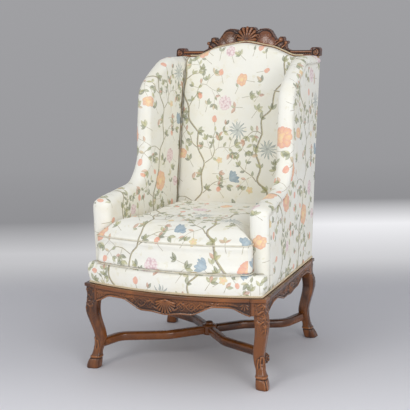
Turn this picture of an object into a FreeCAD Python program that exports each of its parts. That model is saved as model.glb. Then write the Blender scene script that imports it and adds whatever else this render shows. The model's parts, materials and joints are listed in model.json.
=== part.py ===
# Wing armchair in the Regence manner. A carved walnut seat frame stands on four cabriole legs with
# hoof feet and an X-shaped stretcher. Back, wings and arms are stuffed over wooden boards, a carved
# crest rail closes the back, and a loose box cushion lies on a webbed and stuffed seat.
# Millimetres, +Z up, the chair faces -Y, the floor is z = 0, and the box of the chair is centred on x and y.
import FreeCAD
import Part

import math
import os

Vector = FreeCAD.Vector
os.makedirs("parts", exist_ok=True)

# Seat frame
rail_top = 313.0
front_half = 334.0
back_half = 304.0
seat_depth = 630.0
front_bow = 58.0
rail_t = 30.0
moulding_out = 6.0
moulding_h = 12.0
block_side = 46.0
block_h = 58.0
tenon_t = 12.0
tenon_l = 26.0
tenon_h = 26.0
tenon_shoulder = 8.0
tenon_drop = 14.0
side_tenon_l = 17.0
front_side_tenon_in = 18.0
back_side_tenon_in = 8.0
back_tenon_lower = 10.0
peg_r = 3.5
peg_past = 8.0

# Lower edges of the rails: depths below the rail's top
front_drop = 71.0
front_shoulder = 64.0
front_arch = 33.0
front_ear = 61.0
side_drop = 62.0
side_shoulder = 56.0
side_arch = 35.0
side_ear = 52.0
back_rail_h = 56.0
# Right half of such an edge: share of the half length, which depth, corner radius
edge_run = [
    (0.0, "drop", 60.0),
    (0.17, "shoulder", 40.0),
    (0.34, "shoulder", 45.0),
    (0.56, "arch", 60.0),
    (0.80, "arch", 45.0),
    (0.93, "lip", 20.0),
    (1.0, "ear", 0.0),
]
edge_lip = 8.0

# Cabriole legs: how far the centre swings out (+) or in (-) along the corner's diagonal
knee_z = 218.0
calf_z = 160.0
ankle_z = 99.0
pastern_z = 52.0
hoof_z = 26.0
knee_side = 46.0
calf_side = 41.0
ankle_side = 37.0
pastern_side = 35.0
hoof_side = 41.0
sole_side = 42.0
shaft_round = 0.32
shaft_lap = 6.0
shaft_in = 1.0
# Share of the swing left at the pastern, and share of the foot's swing at the hoof
pastern_swing = 1.0 / 3.0
hoof_swing = 0.6
front_knee_out = 10.0
front_ankle_in = -14.0
front_foot_out = 11.5
back_knee_out = 15.0
back_ankle_in = -7.0
back_foot_out = 24.0
ankle_scroll_r = 19.0
ankle_scroll_w = 20.0
ankle_scroll_edge_r = 6.0
ankle_scroll_out = 21.0
ankle_scroll_z = 95.0
ankle_scroll_turn = 60.0

# Stretcher
stretcher_w = 30.0
stretcher_h = 31.0
stretcher_z = 88.0
stretcher_edge_r = 9.0
stretcher_bend_r = [62.0, 90.0]
stretcher_end_in = 4.0
# Bends of the arms, as shares of the run from the boss to the leg along x and y
front_arm_bends = [(0.90, 0.68), (0.36, 0.42)]
back_arm_bends = [(0.87, 0.58), (0.345, 0.34)]
boss_r = 28.0
boss_h = 38.0
boss_edge_r = 6.0
boss_button_r = 15.0
boss_button_h = 12.0
boss_button_edge_r = 8.0

# Stuffed parts
fabric_front_in = 12.0
fabric_back_in = 5.0
border_inset = 11.0
border_top = 388.0
border_edge_r = 14.0
side_t = 60.0
side_edge_r = 25.0
side_cover_t = 4.0
arm_setback = 45.0
arm_top_front = 600.0
arm_rise = 0.136
arm_corner_r = 30.0
arm_sweep_r = 125.0
wing_setback = 349.0
wing_lean = 0.083
wing_break_z = 979.0
wing_slope = 0.565
wing_curve_r = 120.0
wing_top = 1078.0
board_t = 28.0
board_w = 40.0
board_inset = 20.0
arm_board_top = 560.0
arm_board_line = 645.0
wing_board_line = 930.0

# Back: its rear face is a wide arc that leans further back as it rises
back_offset = 4.0
back_rake = 0.11
back_r = 8400.0
back_t = 84.0
back_cover_t = 4.0
back_frame_t = 26.0
back_edge_r = 18.0
post_w = 54.0
bottom_rail_z = 395.0
bottom_rail_h = 50.0
top_rail_h = 60.0

# Crest rail: heights above the wing's top along its outline
crest_past = 1.0
crest_t = 32.0
crest_inset = 2.0
crest_spare = 10.0
crest_rise = 46.0
crest_flat_half = 197.0
# Arched lower line of the crest: share of the flat's half width, share of the rise, corner radius
crest_arch = [(1.0, 0.0, 60.0), (0.62, 0.70, 140.0), (0.0, 1.22, 150.0)]
crest_shell_h = 114.0
crest_shell_half = 29.0
crest_band_h = 23.0
crest_scroll_h = 34.0
crest_scroll_w = 36.0
crest_scroll_r = 12.0
crest_scroll_low_r = 10.0
crest_neck_w = 4.0
crest_neck_r = 5.0
crest_shell_r = 14.0
# Right half of the carved outline between moulding and shell: x, height above the wing, corner radius
crest_leaf = [
    (182.0, crest_band_h, 12.0),
    (163.0, 31.0, 8.0),
    (161.0, 46.0, 3.0),
    (170.0, 51.0, 4.5),
    (166.0, 60.0, 5.0),
    (154.0, 57.0, 3.0),
    (152.0, 75.0, 8.5),
    (132.0, 75.0, 8.5),
    (128.0, 62.0, 4.0),
    (118.0, 67.0, 6.0),
    (95.0, 101.0, 24.0),
    (76.0, 108.0, 16.0),
    (50.0, 106.0, 12.0),
    (37.0, 96.0, 4.0),
]

# Webbed seat and trims
rebate_w = 12.0
web_t = 2.0
web_w = 48.0
web_gap = 22.0
back_web_gap = 66.0
back_web_drop = 24.0
hessian_t = 1.5
gimp_w = 10.0
gimp_t = 3.0
corner_block_side = 88.0
corner_block_t = 32.0
corner_block_drop = 12.0
screw_head_r = 4.0
screw_head_t = 3.0
screw_r = 2.0
screw_l = 18.0
screw_margin = 9.0

# Loose cushion
cushion_front_in = 37.0
cushion_ear_inset = 6.0
cushion_ear_gap = 9.0
cushion_ear_r = 5.4
cushion_clear = 1.5
cushion_seam_low = 4.0
cushion_box_h = 96.0
cushion_crown = 44.0
cushion_corner_r = 22.0
cushion_bulge = 1.008
cushion_bow_share = 0.90
# Crown of the cushion: scale of its plan, share of the crown's height
cushion_dome = [(1.0, 0.0), (0.94, 0.42), (0.82, 0.78), (0.60, 1.0)]
piping_r = 3.5
rest_gap = 0.3


# Outline helpers

def on_xy(u, v):
    return Vector(u, v, 0.0)


def on_xz(u, v):
    return Vector(u, 0.0, v)


def on_yz(u, v):
    return Vector(0.0, u, v)


def rounded_wire(points, radii, plane, closed=True):
    """Straight runs through the points, joined by tangent arcs; a radius of 0 keeps a corner sharp."""
    count = len(points)
    starts = []
    ends = []
    middles = []
    for i, (u, v) in enumerate(points):
        radius = radii[i]
        if radius <= 0.0 or (not closed and i in (0, count - 1)):
            starts.append((u, v))
            ends.append((u, v))
            middles.append(None)
            continue
        pu, pv = points[i - 1]
        nu, nv = points[(i + 1) % count]
        before = math.hypot(u - pu, v - pv)
        after = math.hypot(nu - u, nv - v)
        iu, iv = (u - pu) / before, (v - pv) / before
        ou, ov = (nu - u) / after, (nv - v) / after
        turn = math.acos(max(-1.0, min(1.0, iu * ou + iv * ov)))
        back = radius * math.tan(turn / 2.0)
        bu, bv = ou - iu, ov - iv
        size = math.hypot(bu, bv)
        reach = radius * (1.0 / math.cos(turn / 2.0) - 1.0)
        starts.append((u - iu * back, v - iv * back))
        ends.append((u + ou * back, v + ov * back))
        middles.append((u + bu / size * reach, v + bv / size * reach))
    edges = []
    for i in range(count):
        if middles[i]:
            arc = Part.Arc(plane(*starts[i]), plane(*middles[i]), plane(*ends[i]))
            edges.append(arc.toShape())
        if closed or i < count - 1:
            start = plane(*ends[i])
            end = plane(*starts[(i + 1) % count])
            if start.distanceToPoint(end) > 1e-6:
                edges.append(Part.makeLine(start, end))
    return Part.Wire(edges)


def prism(wire, along):
    return Part.Face(wire).extrude(along)


def polygon(points, along, plane=on_xy):
    return prism(rounded_wire(points, [0.0] * len(points), plane), along)


def box(x0, x1, y0, y1, z0, z1):
    return Part.makeBox(x1 - x0, y1 - y0, z1 - z0, Vector(x0, y0, z0))


def mirrored(shape):
    return shape.mirror(Vector(0.0, 0.0, 0.0), Vector(1.0, 0.0, 0.0))


def joined(shapes):
    return shapes[0].fuse(shapes[1:]).removeSplitter()


def solid_of(shape):
    solids = sorted(shape.Solids, key=lambda item: item.Volume)
    return solids[-1]


def group(solids):
    return Part.makeCompound(solids)


# Places that follow from the sizes

fabric_front_half = front_half - fabric_front_in
fabric_back_half = back_half - fabric_back_in
crest_half = fabric_back_half + crest_past
cushion_front_half = fabric_front_half - cushion_front_in
crest_top = wing_top + crest_shell_h
back_centre_z = rail_top - back_rake * back_r


def back_run(z, offset=0.0):
    """How far the back's rear face, moved forward by offset, lies behind its foot at height z."""
    foot = math.sqrt(back_r ** 2 - (rail_top - back_centre_z) ** 2)
    return foot - math.sqrt((back_r + offset) ** 2 - (z - back_centre_z) ** 2)


overall_depth = moulding_out + front_bow + seat_depth + back_offset + back_run(crest_top, crest_inset)
rail_front_y = moulding_out + front_bow - overall_depth / 2.0
rail_back_y = rail_front_y + seat_depth
splay = math.atan((fabric_front_half - fabric_back_half) / seat_depth)
far = 2.0 * overall_depth
behind = -overall_depth / 2.0


def back_y(z, offset=0.0):
    return rail_back_y + back_offset + back_run(z, offset)


def rail_half(y):
    return front_half + (back_half - front_half) * (y - rail_front_y) / seat_depth


def fabric_half(y):
    return fabric_front_half + (fabric_back_half - fabric_front_half) * (y - rail_front_y) / seat_depth


def front_arc(half, inset):
    """The bowed front line, moved back by inset, from -half to half."""
    radius = (front_half ** 2 + front_bow ** 2) / (2.0 * front_bow)
    centre_y = rail_front_y - front_bow + radius
    reach = radius - inset
    end_y = centre_y - math.sqrt(reach ** 2 - half ** 2)
    arc = Part.Arc(Vector(-half, end_y, 0), Vector(0, centre_y - reach, 0), Vector(half, end_y, 0))
    return arc.toShape(), end_y


def plan_wire(half_front, inset, half_back, back_at):
    """Seat plan: bowed front, straight splayed sides and straight back."""
    front, front_y = front_arc(half_front, inset)
    sides = [
        Part.makeLine(Vector(half_front, front_y, 0), Vector(half_back, back_at, 0)),
        Part.makeLine(Vector(half_back, back_at, 0), Vector(-half_back, back_at, 0)),
        Part.makeLine(Vector(-half_back, back_at, 0), Vector(-half_front, front_y, 0)),
    ]
    return Part.Wire([front] + sides)


def plan_prism(half_front, inset, half_back, back_at, z0, z1):
    shape = prism(plan_wire(half_front, inset, half_back, back_at), Vector(0, 0, z1 - z0))
    shape.translate(Vector(0, 0, z0))
    return shape


def back_band(x0, x1, offset0, offset1, z0, z1):
    """Slab of the back between two offsets from its rear face, from z0 to z1."""
    middle = (z0 + z1) / 2.0
    edges = []
    for offset, low, high in ((offset0, z0, z1), (offset1, z1, z0)):
        arc = Part.Arc(
            Vector(x0, back_y(low, offset), low),
            Vector(x0, back_y(middle, offset), middle),
            Vector(x0, back_y(high, offset), high),
        )
        edges.append(arc.toShape())
    for z, a, b in ((z1, offset0, offset1), (z0, offset1, offset0)):
        edges.append(Part.makeLine(Vector(x0, back_y(z, a), z), Vector(x0, back_y(z, b), z)))
    wire = Part.Wire(Part.__sortEdges__(edges))
    return prism(wire, Vector(x1 - x0, 0, 0))


def place_side(shape):
    """Moves a shape from the side panel's own frame, outer face at x = 0, to the right side."""
    placed = shape.copy()
    placed.rotate(Vector(0, 0, 0), Vector(0, 0, 1), math.degrees(splay))
    placed.translate(Vector(fabric_front_half, rail_front_y, 0))
    return placed


def side_slab(x0, x1, z0=0.0, z1=crest_top):
    return place_side(box(x0, x1, -seat_depth, 2.0 * seat_depth, z0, z1))


nodes = {}


# Legs: a block between the rails over a swung shaft and a hoof

def square_section(side, centre, z):
    half = side / 2.0
    radius = side * shaft_round
    points = [(-half, -half), (half, -half), (half, half), (-half, half)]
    wire = rounded_wire([(u + centre[0], v + centre[1]) for u, v in points], [radius] * 4, on_xy)
    wire.translate(Vector(0, 0, z))
    return wire


def cabriole(corner, outward, knee_out, ankle_in, foot_out):
    """Leg shaft under the block whose outer corner is given; outward holds the signs of x and y."""
    stations = [
        (rail_top - block_h + shaft_lap, 0.0, block_side - shaft_in),
        (knee_z, knee_out, knee_side),
        (calf_z, (knee_out + ankle_in) / 2.0, calf_side),
        (ankle_z, ankle_in, ankle_side),
        (pastern_z, (ankle_in + foot_out) * pastern_swing, pastern_side),
        (hoof_z, foot_out * hoof_swing, hoof_side),
        (0.0, foot_out, sole_side),
    ]
    base = [corner[0] - outward[0] * block_side / 2.0, corner[1] - outward[1] * block_side / 2.0]
    sections = []
    for z, swing, side in stations:
        step = swing / math.sqrt(2.0)
        sections.append(square_section(side, (base[0] + outward[0] * step, base[1] + outward[1] * step), z))
    return Part.makeLoft(sections, True, False)


def ankle_scroll():
    """Small volute on the rear outer side of a front leg's ankle."""
    step = block_side / 2.0 - front_ankle_in / math.sqrt(2.0)
    volute = Part.makeCylinder(ankle_scroll_r, ankle_scroll_w, Vector(0, 0, 0), Vector(0, 1, 0))
    volute = volute.makeFillet(ankle_scroll_edge_r, volute.Edges[:1] + volute.Edges[2:])
    volute.translate(Vector(ankle_scroll_out, -ankle_scroll_w / 2.0, ankle_scroll_z))
    volute.rotate(Vector(0, 0, 0), Vector(0, 0, 1), ankle_scroll_turn)
    volute.translate(Vector(front_half - step, rail_front_y + step, 0))
    return volute


def mouldings(x0, x1, y0, y1):
    """The part of the bead round the rail's top that lies inside a box in plan."""
    top = rail_top
    outer = plan_prism(
        front_half + moulding_out, -moulding_out, back_half + moulding_out, rail_back_y, top - moulding_h, top
    )
    inner = plan_prism(front_half, 0.0, back_half, rail_back_y, 0.0, 2.0 * top)
    return outer.cut(inner).common(box(x0, x1, y0, y1, 0.0, 2.0 * top))


seat_plan = plan_prism(front_half, 0.0, back_half, rail_back_y, 0.0, rail_top)
block_x0 = front_half - block_side
front_block_y = rail_front_y + block_side
back_block_x0 = back_half - block_side
back_block_y = rail_back_y - block_side
front_block = box(block_x0, front_half, -far, front_block_y, rail_top - block_h, rail_top).common(seat_plan)
back_block = box(back_block_x0, back_half + moulding_out, back_block_y, far, rail_top - block_h, rail_top)
back_block = back_block.common(seat_plan)

rebate_depth = 2.0 * web_t + hessian_t
sheet_inset = rail_t - rebate_w
sheet_back_y = rail_back_y - sheet_inset
rebate = plan_prism(
    front_half - sheet_inset, sheet_inset, back_half - sheet_inset, sheet_back_y, rail_top - rebate_depth, far
)
opening = plan_prism(front_half - rail_t, rail_t, back_half - rail_t, rail_back_y - rail_t, 0.0, far)

front_leg = joined([
    front_block,
    mouldings(block_x0, far, -far, front_block_y),
    cabriole((front_half, rail_front_y), (1, -1), front_knee_out, front_ankle_in, front_foot_out),
    ankle_scroll(),
])
back_leg = joined([
    back_block,
    mouldings(back_block_x0, far, back_block_y, far),
    cabriole((back_half, rail_back_y), (1, 1), back_knee_out, back_ankle_in, back_foot_out),
])

# Tenons of the rails, the mortises that they fill and the pegs through both
tenon_top = rail_top - tenon_drop
tenon_low = tenon_top - tenon_h
front_tenon_y = rail_front_y + tenon_shoulder
back_tenon_y = rail_back_y - tenon_shoulder - tenon_t
front_side_tenon_x = front_half - front_side_tenon_in - tenon_t
back_side_tenon_x = back_half - back_side_tenon_in - tenon_t
front_tenon = box(
    block_x0, block_x0 + tenon_l, front_tenon_y, front_tenon_y + tenon_t, tenon_low, tenon_top
)
back_tenon = box(
    back_block_x0, back_block_x0 + tenon_l, back_tenon_y, back_tenon_y + tenon_t,
    tenon_low - back_tenon_lower, tenon_top - back_tenon_lower,
)
side_front_tenon = box(
    front_side_tenon_x, front_side_tenon_x + tenon_t, front_block_y - side_tenon_l, front_block_y,
    tenon_low, tenon_top,
)
side_back_tenon = box(
    back_side_tenon_x, back_side_tenon_x + tenon_t, back_block_y, back_block_y + side_tenon_l,
    tenon_low, tenon_top,
)
peg_z = (tenon_low + tenon_top) / 2.0


def peg(x, y, z, direction, block):
    """Round peg from past the tenon's inner face out to the face of its block."""
    return Part.makeCylinder(peg_r, 2.0 * block_side, Vector(x, y, z), direction).common(block)


front_peg = peg(
    block_x0 + tenon_l / 2.0, front_tenon_y + tenon_t + peg_past, peg_z, Vector(0, -1, 0), front_block
)
back_peg = peg(
    back_block_x0 + tenon_l / 2.0, back_tenon_y - peg_past, peg_z - back_tenon_lower,
    Vector(0, 1, 0), back_block,
)
side_front_peg = peg(
    front_side_tenon_x - peg_past, front_block_y - side_tenon_l / 2.0, peg_z, Vector(1, 0, 0), front_block
)
side_back_peg = peg(
    back_side_tenon_x - peg_past, back_block_y + side_tenon_l / 2.0, peg_z, Vector(1, 0, 0), back_block
)
right_pegs = [front_peg, side_front_peg, side_back_peg, back_peg]

front_leg = front_leg.cut([rebate, front_tenon, side_front_tenon, front_peg, side_front_peg])
back_leg = back_leg.cut([rebate, back_tenon, side_back_tenon, back_peg, side_back_peg])
nodes["front_leg_right"] = solid_of(front_leg)
nodes["front_leg_left"] = mirrored(nodes["front_leg_right"])
nodes["back_leg_right"] = solid_of(back_leg)
nodes["back_leg_left"] = mirrored(nodes["back_leg_right"])
nodes["rail_pegs"] = group(right_pegs + [mirrored(item) for item in right_pegs])


# Seat rails

def lower_edge(half, drop, shoulder, arch, ear):
    """Shaped lower edge: an ear by the leg, an arch, a shoulder and a drop at the middle."""
    depth = {"drop": drop, "shoulder": shoulder, "arch": arch, "lip": ear - edge_lip, "ear": ear}
    right = [(half * share, rail_top - depth[name], radius) for share, name, radius in edge_run]
    outline = [(-u, v, r) for u, v, r in reversed(right)] + right[1:]
    outline += [(half, rail_top, 0.0), (-half, rail_top, 0.0)]
    return rounded_wire([(u, v) for u, v, r in outline], [r for u, v, r in outline], on_xz)


front_edge = lower_edge(block_x0, front_drop, front_shoulder, front_arch, front_ear)
front_outline = prism(front_edge, Vector(0, far, 0))
front_outline.translate(Vector(0, rail_front_y - 2.0 * front_bow, 0))
front_rail = front_outline.common(seat_plan.cut(opening)).common(box(-far, far, -far, 0.0, 0.0, far))
front_rail = joined([
    solid_of(front_rail),
    mouldings(-block_x0, block_x0, -far, front_block_y),
    front_tenon,
    mirrored(front_tenon),
])
nodes["front_rail"] = solid_of(front_rail.cut([rebate, front_peg, mirrored(front_peg)]))

side_length = back_block_y - front_block_y
side_middle = (back_block_y + front_block_y) / 2.0
side_outline = prism(
    lower_edge(side_length / 2.0, side_drop, side_shoulder, side_arch, side_ear), Vector(0, far, 0)
)
side_outline.rotate(Vector(0, 0, 0), Vector(0, 0, 1), 90.0)
side_outline.translate(Vector(far, side_middle, 0))
side_rail = solid_of(side_outline.common(seat_plan.cut(opening)))
side_rail = joined([
    side_rail, mouldings(0.0, far, front_block_y, back_block_y), side_front_tenon, side_back_tenon
])
nodes["side_rail_right"] = solid_of(side_rail.cut([rebate, side_front_peg, side_back_peg]))
nodes["side_rail_left"] = mirrored(nodes["side_rail_right"])

back_rail = box(
    -back_block_x0, back_block_x0, rail_back_y - rail_t, rail_back_y, rail_top - back_rail_h, rail_top
)
back_rail = joined([back_rail, back_tenon, mirrored(back_tenon)])
nodes["back_rail"] = solid_of(back_rail.cut([rebate, back_peg, mirrored(back_peg)]))


# Corner blocks, screwed into the rails

def corner_block(y_corner, inward):
    """Block across the inner corner of two rails; inward is the sign of y that leads into the seat."""
    x = rail_half(y_corner)
    size = corner_block_side
    points = [
        (x, y_corner - inward * front_bow),
        (x, y_corner + inward * size),
        (x - size, y_corner + inward * size / 3.0),
        (x - size, y_corner - inward * front_bow),
    ]
    shape = polygon(points, Vector(0, 0, corner_block_t))
    shape.translate(Vector(0, 0, rail_top - corner_block_drop - corner_block_t))
    return shape.common(opening)


def corner_screw(x, y):
    """Head under the block, shank up into it."""
    z = rail_top - corner_block_drop - corner_block_t
    head = Part.makeCylinder(screw_head_r, screw_head_t, Vector(x, y, z - screw_head_t))
    return head.fuse(Part.makeCylinder(screw_r, screw_l, Vector(x, y, z))).removeSplitter()


screws = []
for name, y_corner, inward, leg_block in (
    ("front", rail_front_y, 1.0, front_block),
    ("back", rail_back_y, -1.0, back_block),
):
    corner_x = rail_half(y_corner)
    pair = [
        corner_screw(corner_x - rail_t - screw_margin, y_corner + inward * (block_side + screw_margin)),
        corner_screw(corner_x - block_side - screw_margin, y_corner + inward * (rail_t + screw_margin / 2.0)),
    ]
    block = solid_of(corner_block(y_corner, inward).cut([leg_block] + pair))
    nodes["corner_block_" + name + "_right"] = block
    nodes["corner_block_" + name + "_left"] = mirrored(block)
    screws += pair + [mirrored(item) for item in pair]
nodes["corner_screws"] = group(screws)


# X-stretcher

seat_mid_y = (rail_front_y + rail_back_y) / 2.0
boss_z0 = stretcher_z - boss_h / 2.0
boss = Part.makeCylinder(boss_r, boss_h, Vector(0, seat_mid_y, boss_z0))
boss_rims = [edge for edge in boss.Edges if edge.Curve.TypeId == "Part::GeomCircle"]
boss = boss.makeFillet(boss_edge_r, boss_rims)
button = Part.makeCylinder(boss_button_r, boss_button_h, Vector(0, seat_mid_y, boss_z0 + boss_h))
button_middle_z = boss_z0 + boss_h + boss_button_h / 2.0
button_rim = [
    edge for edge in button.Edges
    if edge.CenterOfMass.z > button_middle_z and edge.Curve.TypeId == "Part::GeomCircle"
]
button = button.makeFillet(boss_button_edge_r, button_rim)
nodes["stretcher_boss"] = solid_of(boss.fuse(button))


def stretcher_arm(leg_x, leg_y, bends, leg):
    """S-curved arm from the inner corner of a leg's ankle to the boss; bends are shares of its run."""
    run_x = leg_x
    run_y = leg_y - seat_mid_y
    points = [(leg_x - stretcher_end_in, leg_y)]
    points += [(run_x * share_x, seat_mid_y + run_y * share_y) for share_x, share_y in bends]
    points.append((0.0, seat_mid_y))
    path = rounded_wire(points, [0.0] + stretcher_bend_r + [0.0], on_xy, closed=False)
    path.translate(Vector(0, 0, stretcher_z))
    half_w = stretcher_w / 2.0
    half_h = stretcher_h / 2.0
    section = rounded_wire(
        [(-half_w, -half_h), (half_w, -half_h), (half_w, half_h), (-half_w, half_h)],
        [stretcher_edge_r] * 4, on_xz,
    )
    heading = math.atan2(points[1][1] - points[0][1], points[1][0] - points[0][0])
    section.rotate(Vector(0, 0, 0), Vector(0, 0, 1), math.degrees(heading) - 90.0)
    section.translate(Vector(points[0][0], points[0][1], stretcher_z))
    arm = path.makePipeShell([section], True, False)
    return solid_of(arm.cut([leg, nodes["stretcher_boss"]]))


for name, corner_x, corner_y, ankle, inward, bends in (
    ("front", front_half, rail_front_y, front_ankle_in, 1.0, front_arm_bends),
    ("back", back_half, rail_back_y, back_ankle_in, -1.0, back_arm_bends),
):
    shift = block_side / 2.0 - ankle / math.sqrt(2.0)
    arm = stretcher_arm(corner_x - shift, corner_y + inward * shift, bends, nodes[name + "_leg_right"])
    nodes["stretcher_" + name + "_right"] = arm
    nodes["stretcher_" + name + "_left"] = mirrored(arm)


# Seat: webbing and hessian in the rebate of the rails, then the stuffing

sheet_area = rebate.common(box(-far, far, -far, far, 0.0, rail_top))
sheet_half = front_half - sheet_inset
sheet_front = rail_front_y - front_bow + sheet_inset
upper_web = rail_top - hessian_t - web_t
strips = []
along_count = int((2.0 * sheet_half) // (web_w + web_gap))
for i in range(along_count):
    x = (i - (along_count - 1) / 2.0) * (web_w + web_gap)
    strips.append(box(x - web_w / 2.0, x + web_w / 2.0, -far, far, upper_web - web_t, upper_web))
across_count = int((sheet_back_y - sheet_front) // (web_w + web_gap))
for i in range(across_count):
    y = (sheet_front + sheet_back_y) / 2.0 + (i - (across_count - 1) / 2.0) * (web_w + web_gap)
    strips.append(box(-far, far, y - web_w / 2.0, y + web_w / 2.0, upper_web, upper_web + web_t))
nodes["seat_webbing"] = solid_of(joined(strips).common(sheet_area))
nodes["seat_hessian"] = solid_of(sheet_area.common(box(-far, far, -far, far, rail_top - hessian_t, rail_top)))


# Sides: one outline holds the arm below and the wing above

sweep_z = arm_top_front + arm_rise * (wing_setback - arm_setback)
break_y = wing_setback + wing_lean * (wing_break_z - sweep_z)
top_y = break_y + (wing_top - wing_break_z) / wing_slope
panel_end = 2.0 * seat_depth


def side_outline_wire(inset=0.0, low=rail_top):
    """The side panel's outline in its own frame, and the same drawn in by an inset."""
    points = [
        (arm_setback, low),
        (arm_setback, arm_top_front),
        (wing_setback, sweep_z),
        (break_y, wing_break_z),
        (top_y, wing_top),
        (panel_end, wing_top),
        (panel_end, low),
    ]
    radii = [0.0, arm_corner_r, arm_sweep_r, wing_curve_r, wing_curve_r, 0.0, 0.0]
    wire = rounded_wire(points, radii, on_yz)
    if inset:
        wire = wire.makeOffset2D(-inset)
    return wire


behind_posts = back_band(-far, far, behind, back_cover_t + back_frame_t + web_t, rail_top - side_t, crest_top)
side_body = prism(side_outline_wire(), Vector(-side_t, 0, 0))
rolled_edges = []
for edge in side_body.Edges:
    bounds = edge.BoundBox
    in_face = bounds.XLength < 1e-6
    on_bottom = bounds.ZMax < rail_top + 1e-6
    on_end = bounds.YMin > panel_end - 1e-6
    if in_face and not on_bottom and not on_end:
        rolled_edges.append(edge)
side_body = place_side(side_body.makeFillet(side_edge_r, rolled_edges))

cover_plate = prism(side_outline_wire(side_edge_r, rail_top - side_edge_r), Vector(-side_cover_t, 0, 0))
rear_of_back = back_band(-far, far, behind, 0.0, rail_top - side_t, crest_top)
side_cover = solid_of(place_side(cover_plate).cut(rear_of_back))

# Boards follow the outline: the stump and arm rail in the arm, the upright and top rail in the wing
board_band = prism(side_outline_wire(board_inset), Vector(-board_t, 0, 0))
board_band = board_band.cut(prism(side_outline_wire(board_inset + board_w), Vector(-board_t, 0, 0)))
board_band.translate(Vector(-side_cover_t, 0, 0))
stump_top = arm_board_top - board_inset


def board(z0, z1):
    zone = box(-side_t, 0.0, 0.0, 2.0 * panel_end, z0, z1)
    return solid_of(place_side(board_band.common(zone)).cut(behind_posts))


stump_y = arm_setback + board_inset
stump = box(-side_cover_t - board_t, -side_cover_t, stump_y, stump_y + board_w, rail_top, stump_top)
boards = {
    "arm_stump": place_side(stump),
    "arm_rail": board(stump_top, arm_board_line),
    "wing_upright": board(arm_board_line, wing_board_line),
    "wing_top_rail": board(wing_board_line, far),
}

side_fill = side_body.cut([side_slab(-side_cover_t, far), behind_posts] + list(boards.values()))
arm_space = box(-far, far, -far, far, 0.0, arm_board_line)
arm_pad = solid_of(side_fill.common(arm_space))
wing_pad = solid_of(side_fill.cut(arm_space))
side_pieces = dict(boards)
side_pieces["arm_pad"] = arm_pad
side_pieces["wing_pad"] = wing_pad
side_pieces["outer_side_cover"] = side_cover
for name, shape in side_pieces.items():
    nodes[name + "_right"] = shape
    nodes[name + "_left"] = mirrored(shape)


# Back: cover, posts and rails, webbing and the inside pad, all between offsets from the rear face

frame_front = back_cover_t + back_frame_t
pad_back = frame_front + web_t
inner_half = fabric_half(rail_back_y) - side_t


def crest_line(extra=0.0):
    """Prism of all that lies below the crest's arched lower line, raised by extra."""
    low = wing_top + extra
    right = [(crest_flat_half * share, low + crest_rise * rise, radius) for share, rise, radius in crest_arch]
    left = [(-x, z, radius) for x, z, radius in reversed(right[:-1])]
    outline = [(-far, -far, 0.0), (far, -far, 0.0), (far, low, 0.0)] + right + left + [(-far, low, 0.0)]
    points = [(x, z) for x, z, radius in outline]
    radii = [radius for x, z, radius in outline]
    shape = prism(rounded_wire(points, radii, on_xz), Vector(0, 2.0 * far, 0))
    shape.translate(Vector(0, -far, 0))
    return shape


below_crest = crest_line()
post_slab = side_slab(-side_cover_t - post_w, -side_cover_t, rail_top, wing_top)
post = back_band(0.0, far, back_cover_t, frame_front, rail_top, crest_top).common(post_slab)
nodes["back_post_right"] = solid_of(post)
nodes["back_post_left"] = mirrored(nodes["back_post_right"])
posts = [nodes["back_post_right"], nodes["back_post_left"]]
between_posts = side_slab(-side_cover_t - post_w, far)
outside = [between_posts, mirrored(between_posts)]
rail_zone = back_band(-far, far, back_cover_t, frame_front, bottom_rail_z, bottom_rail_z + bottom_rail_h)
nodes["back_bottom_rail"] = solid_of(rail_zone.cut(outside))
top_zone_z = wing_top - top_rail_h
rail_zone = back_band(-far, far, back_cover_t, frame_front, top_zone_z, crest_top).common(below_crest)
nodes["back_top_rail"] = solid_of(rail_zone.cut(outside))

rear_cover = back_band(-far, far, 0.0, back_cover_t, rail_top, crest_top).common(below_crest)
rear_sides = side_slab(-side_cover_t, far)
nodes["outer_back_cover"] = solid_of(rear_cover.cut([rear_sides, mirrored(rear_sides)]))

web_layer = back_band(-far, far, frame_front, pad_back, bottom_rail_z, wing_top - back_web_drop)
inner_slabs = [side_slab(-side_t, far), mirrored(side_slab(-side_t, far))]
web_strips = []
up_count = int((2.0 * inner_half) // (web_w + web_gap))
for i in range(up_count):
    x = (i - (up_count - 1) / 2.0) * (web_w + web_gap)
    web_strips.append(box(x - web_w / 2.0, x + web_w / 2.0, -far, far, 0.0, far))
level_count = int((wing_top - bottom_rail_z) // (web_w + back_web_gap))
for i in range(level_count):
    z = (wing_top + bottom_rail_z) / 2.0 + (i - (level_count - 1) / 2.0) * (web_w + back_web_gap)
    web_strips.append(box(-far, far, -far, far, z - web_w / 2.0, z + web_w / 2.0))
back_webbing = web_layer.cut(inner_slabs).common(joined(web_strips))
nodes["back_webbing"] = solid_of(back_webbing)

pad = back_band(-far, far, pad_back, back_t, rail_top, crest_top).cut(inner_slabs).common(below_crest)
pad = solid_of(pad)
top_edges = []
for edge in pad.Edges:
    centre = edge.CenterOfMass
    if centre.z > wing_top - 2.0 and abs(centre.y - back_y(centre.z, back_t)) < 1.0 and edge.Length > 3.0:
        top_edges.append(edge)
pad = pad.makeFillet(back_edge_r, top_edges)
nodes["back_pad"] = solid_of(pad)

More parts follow.
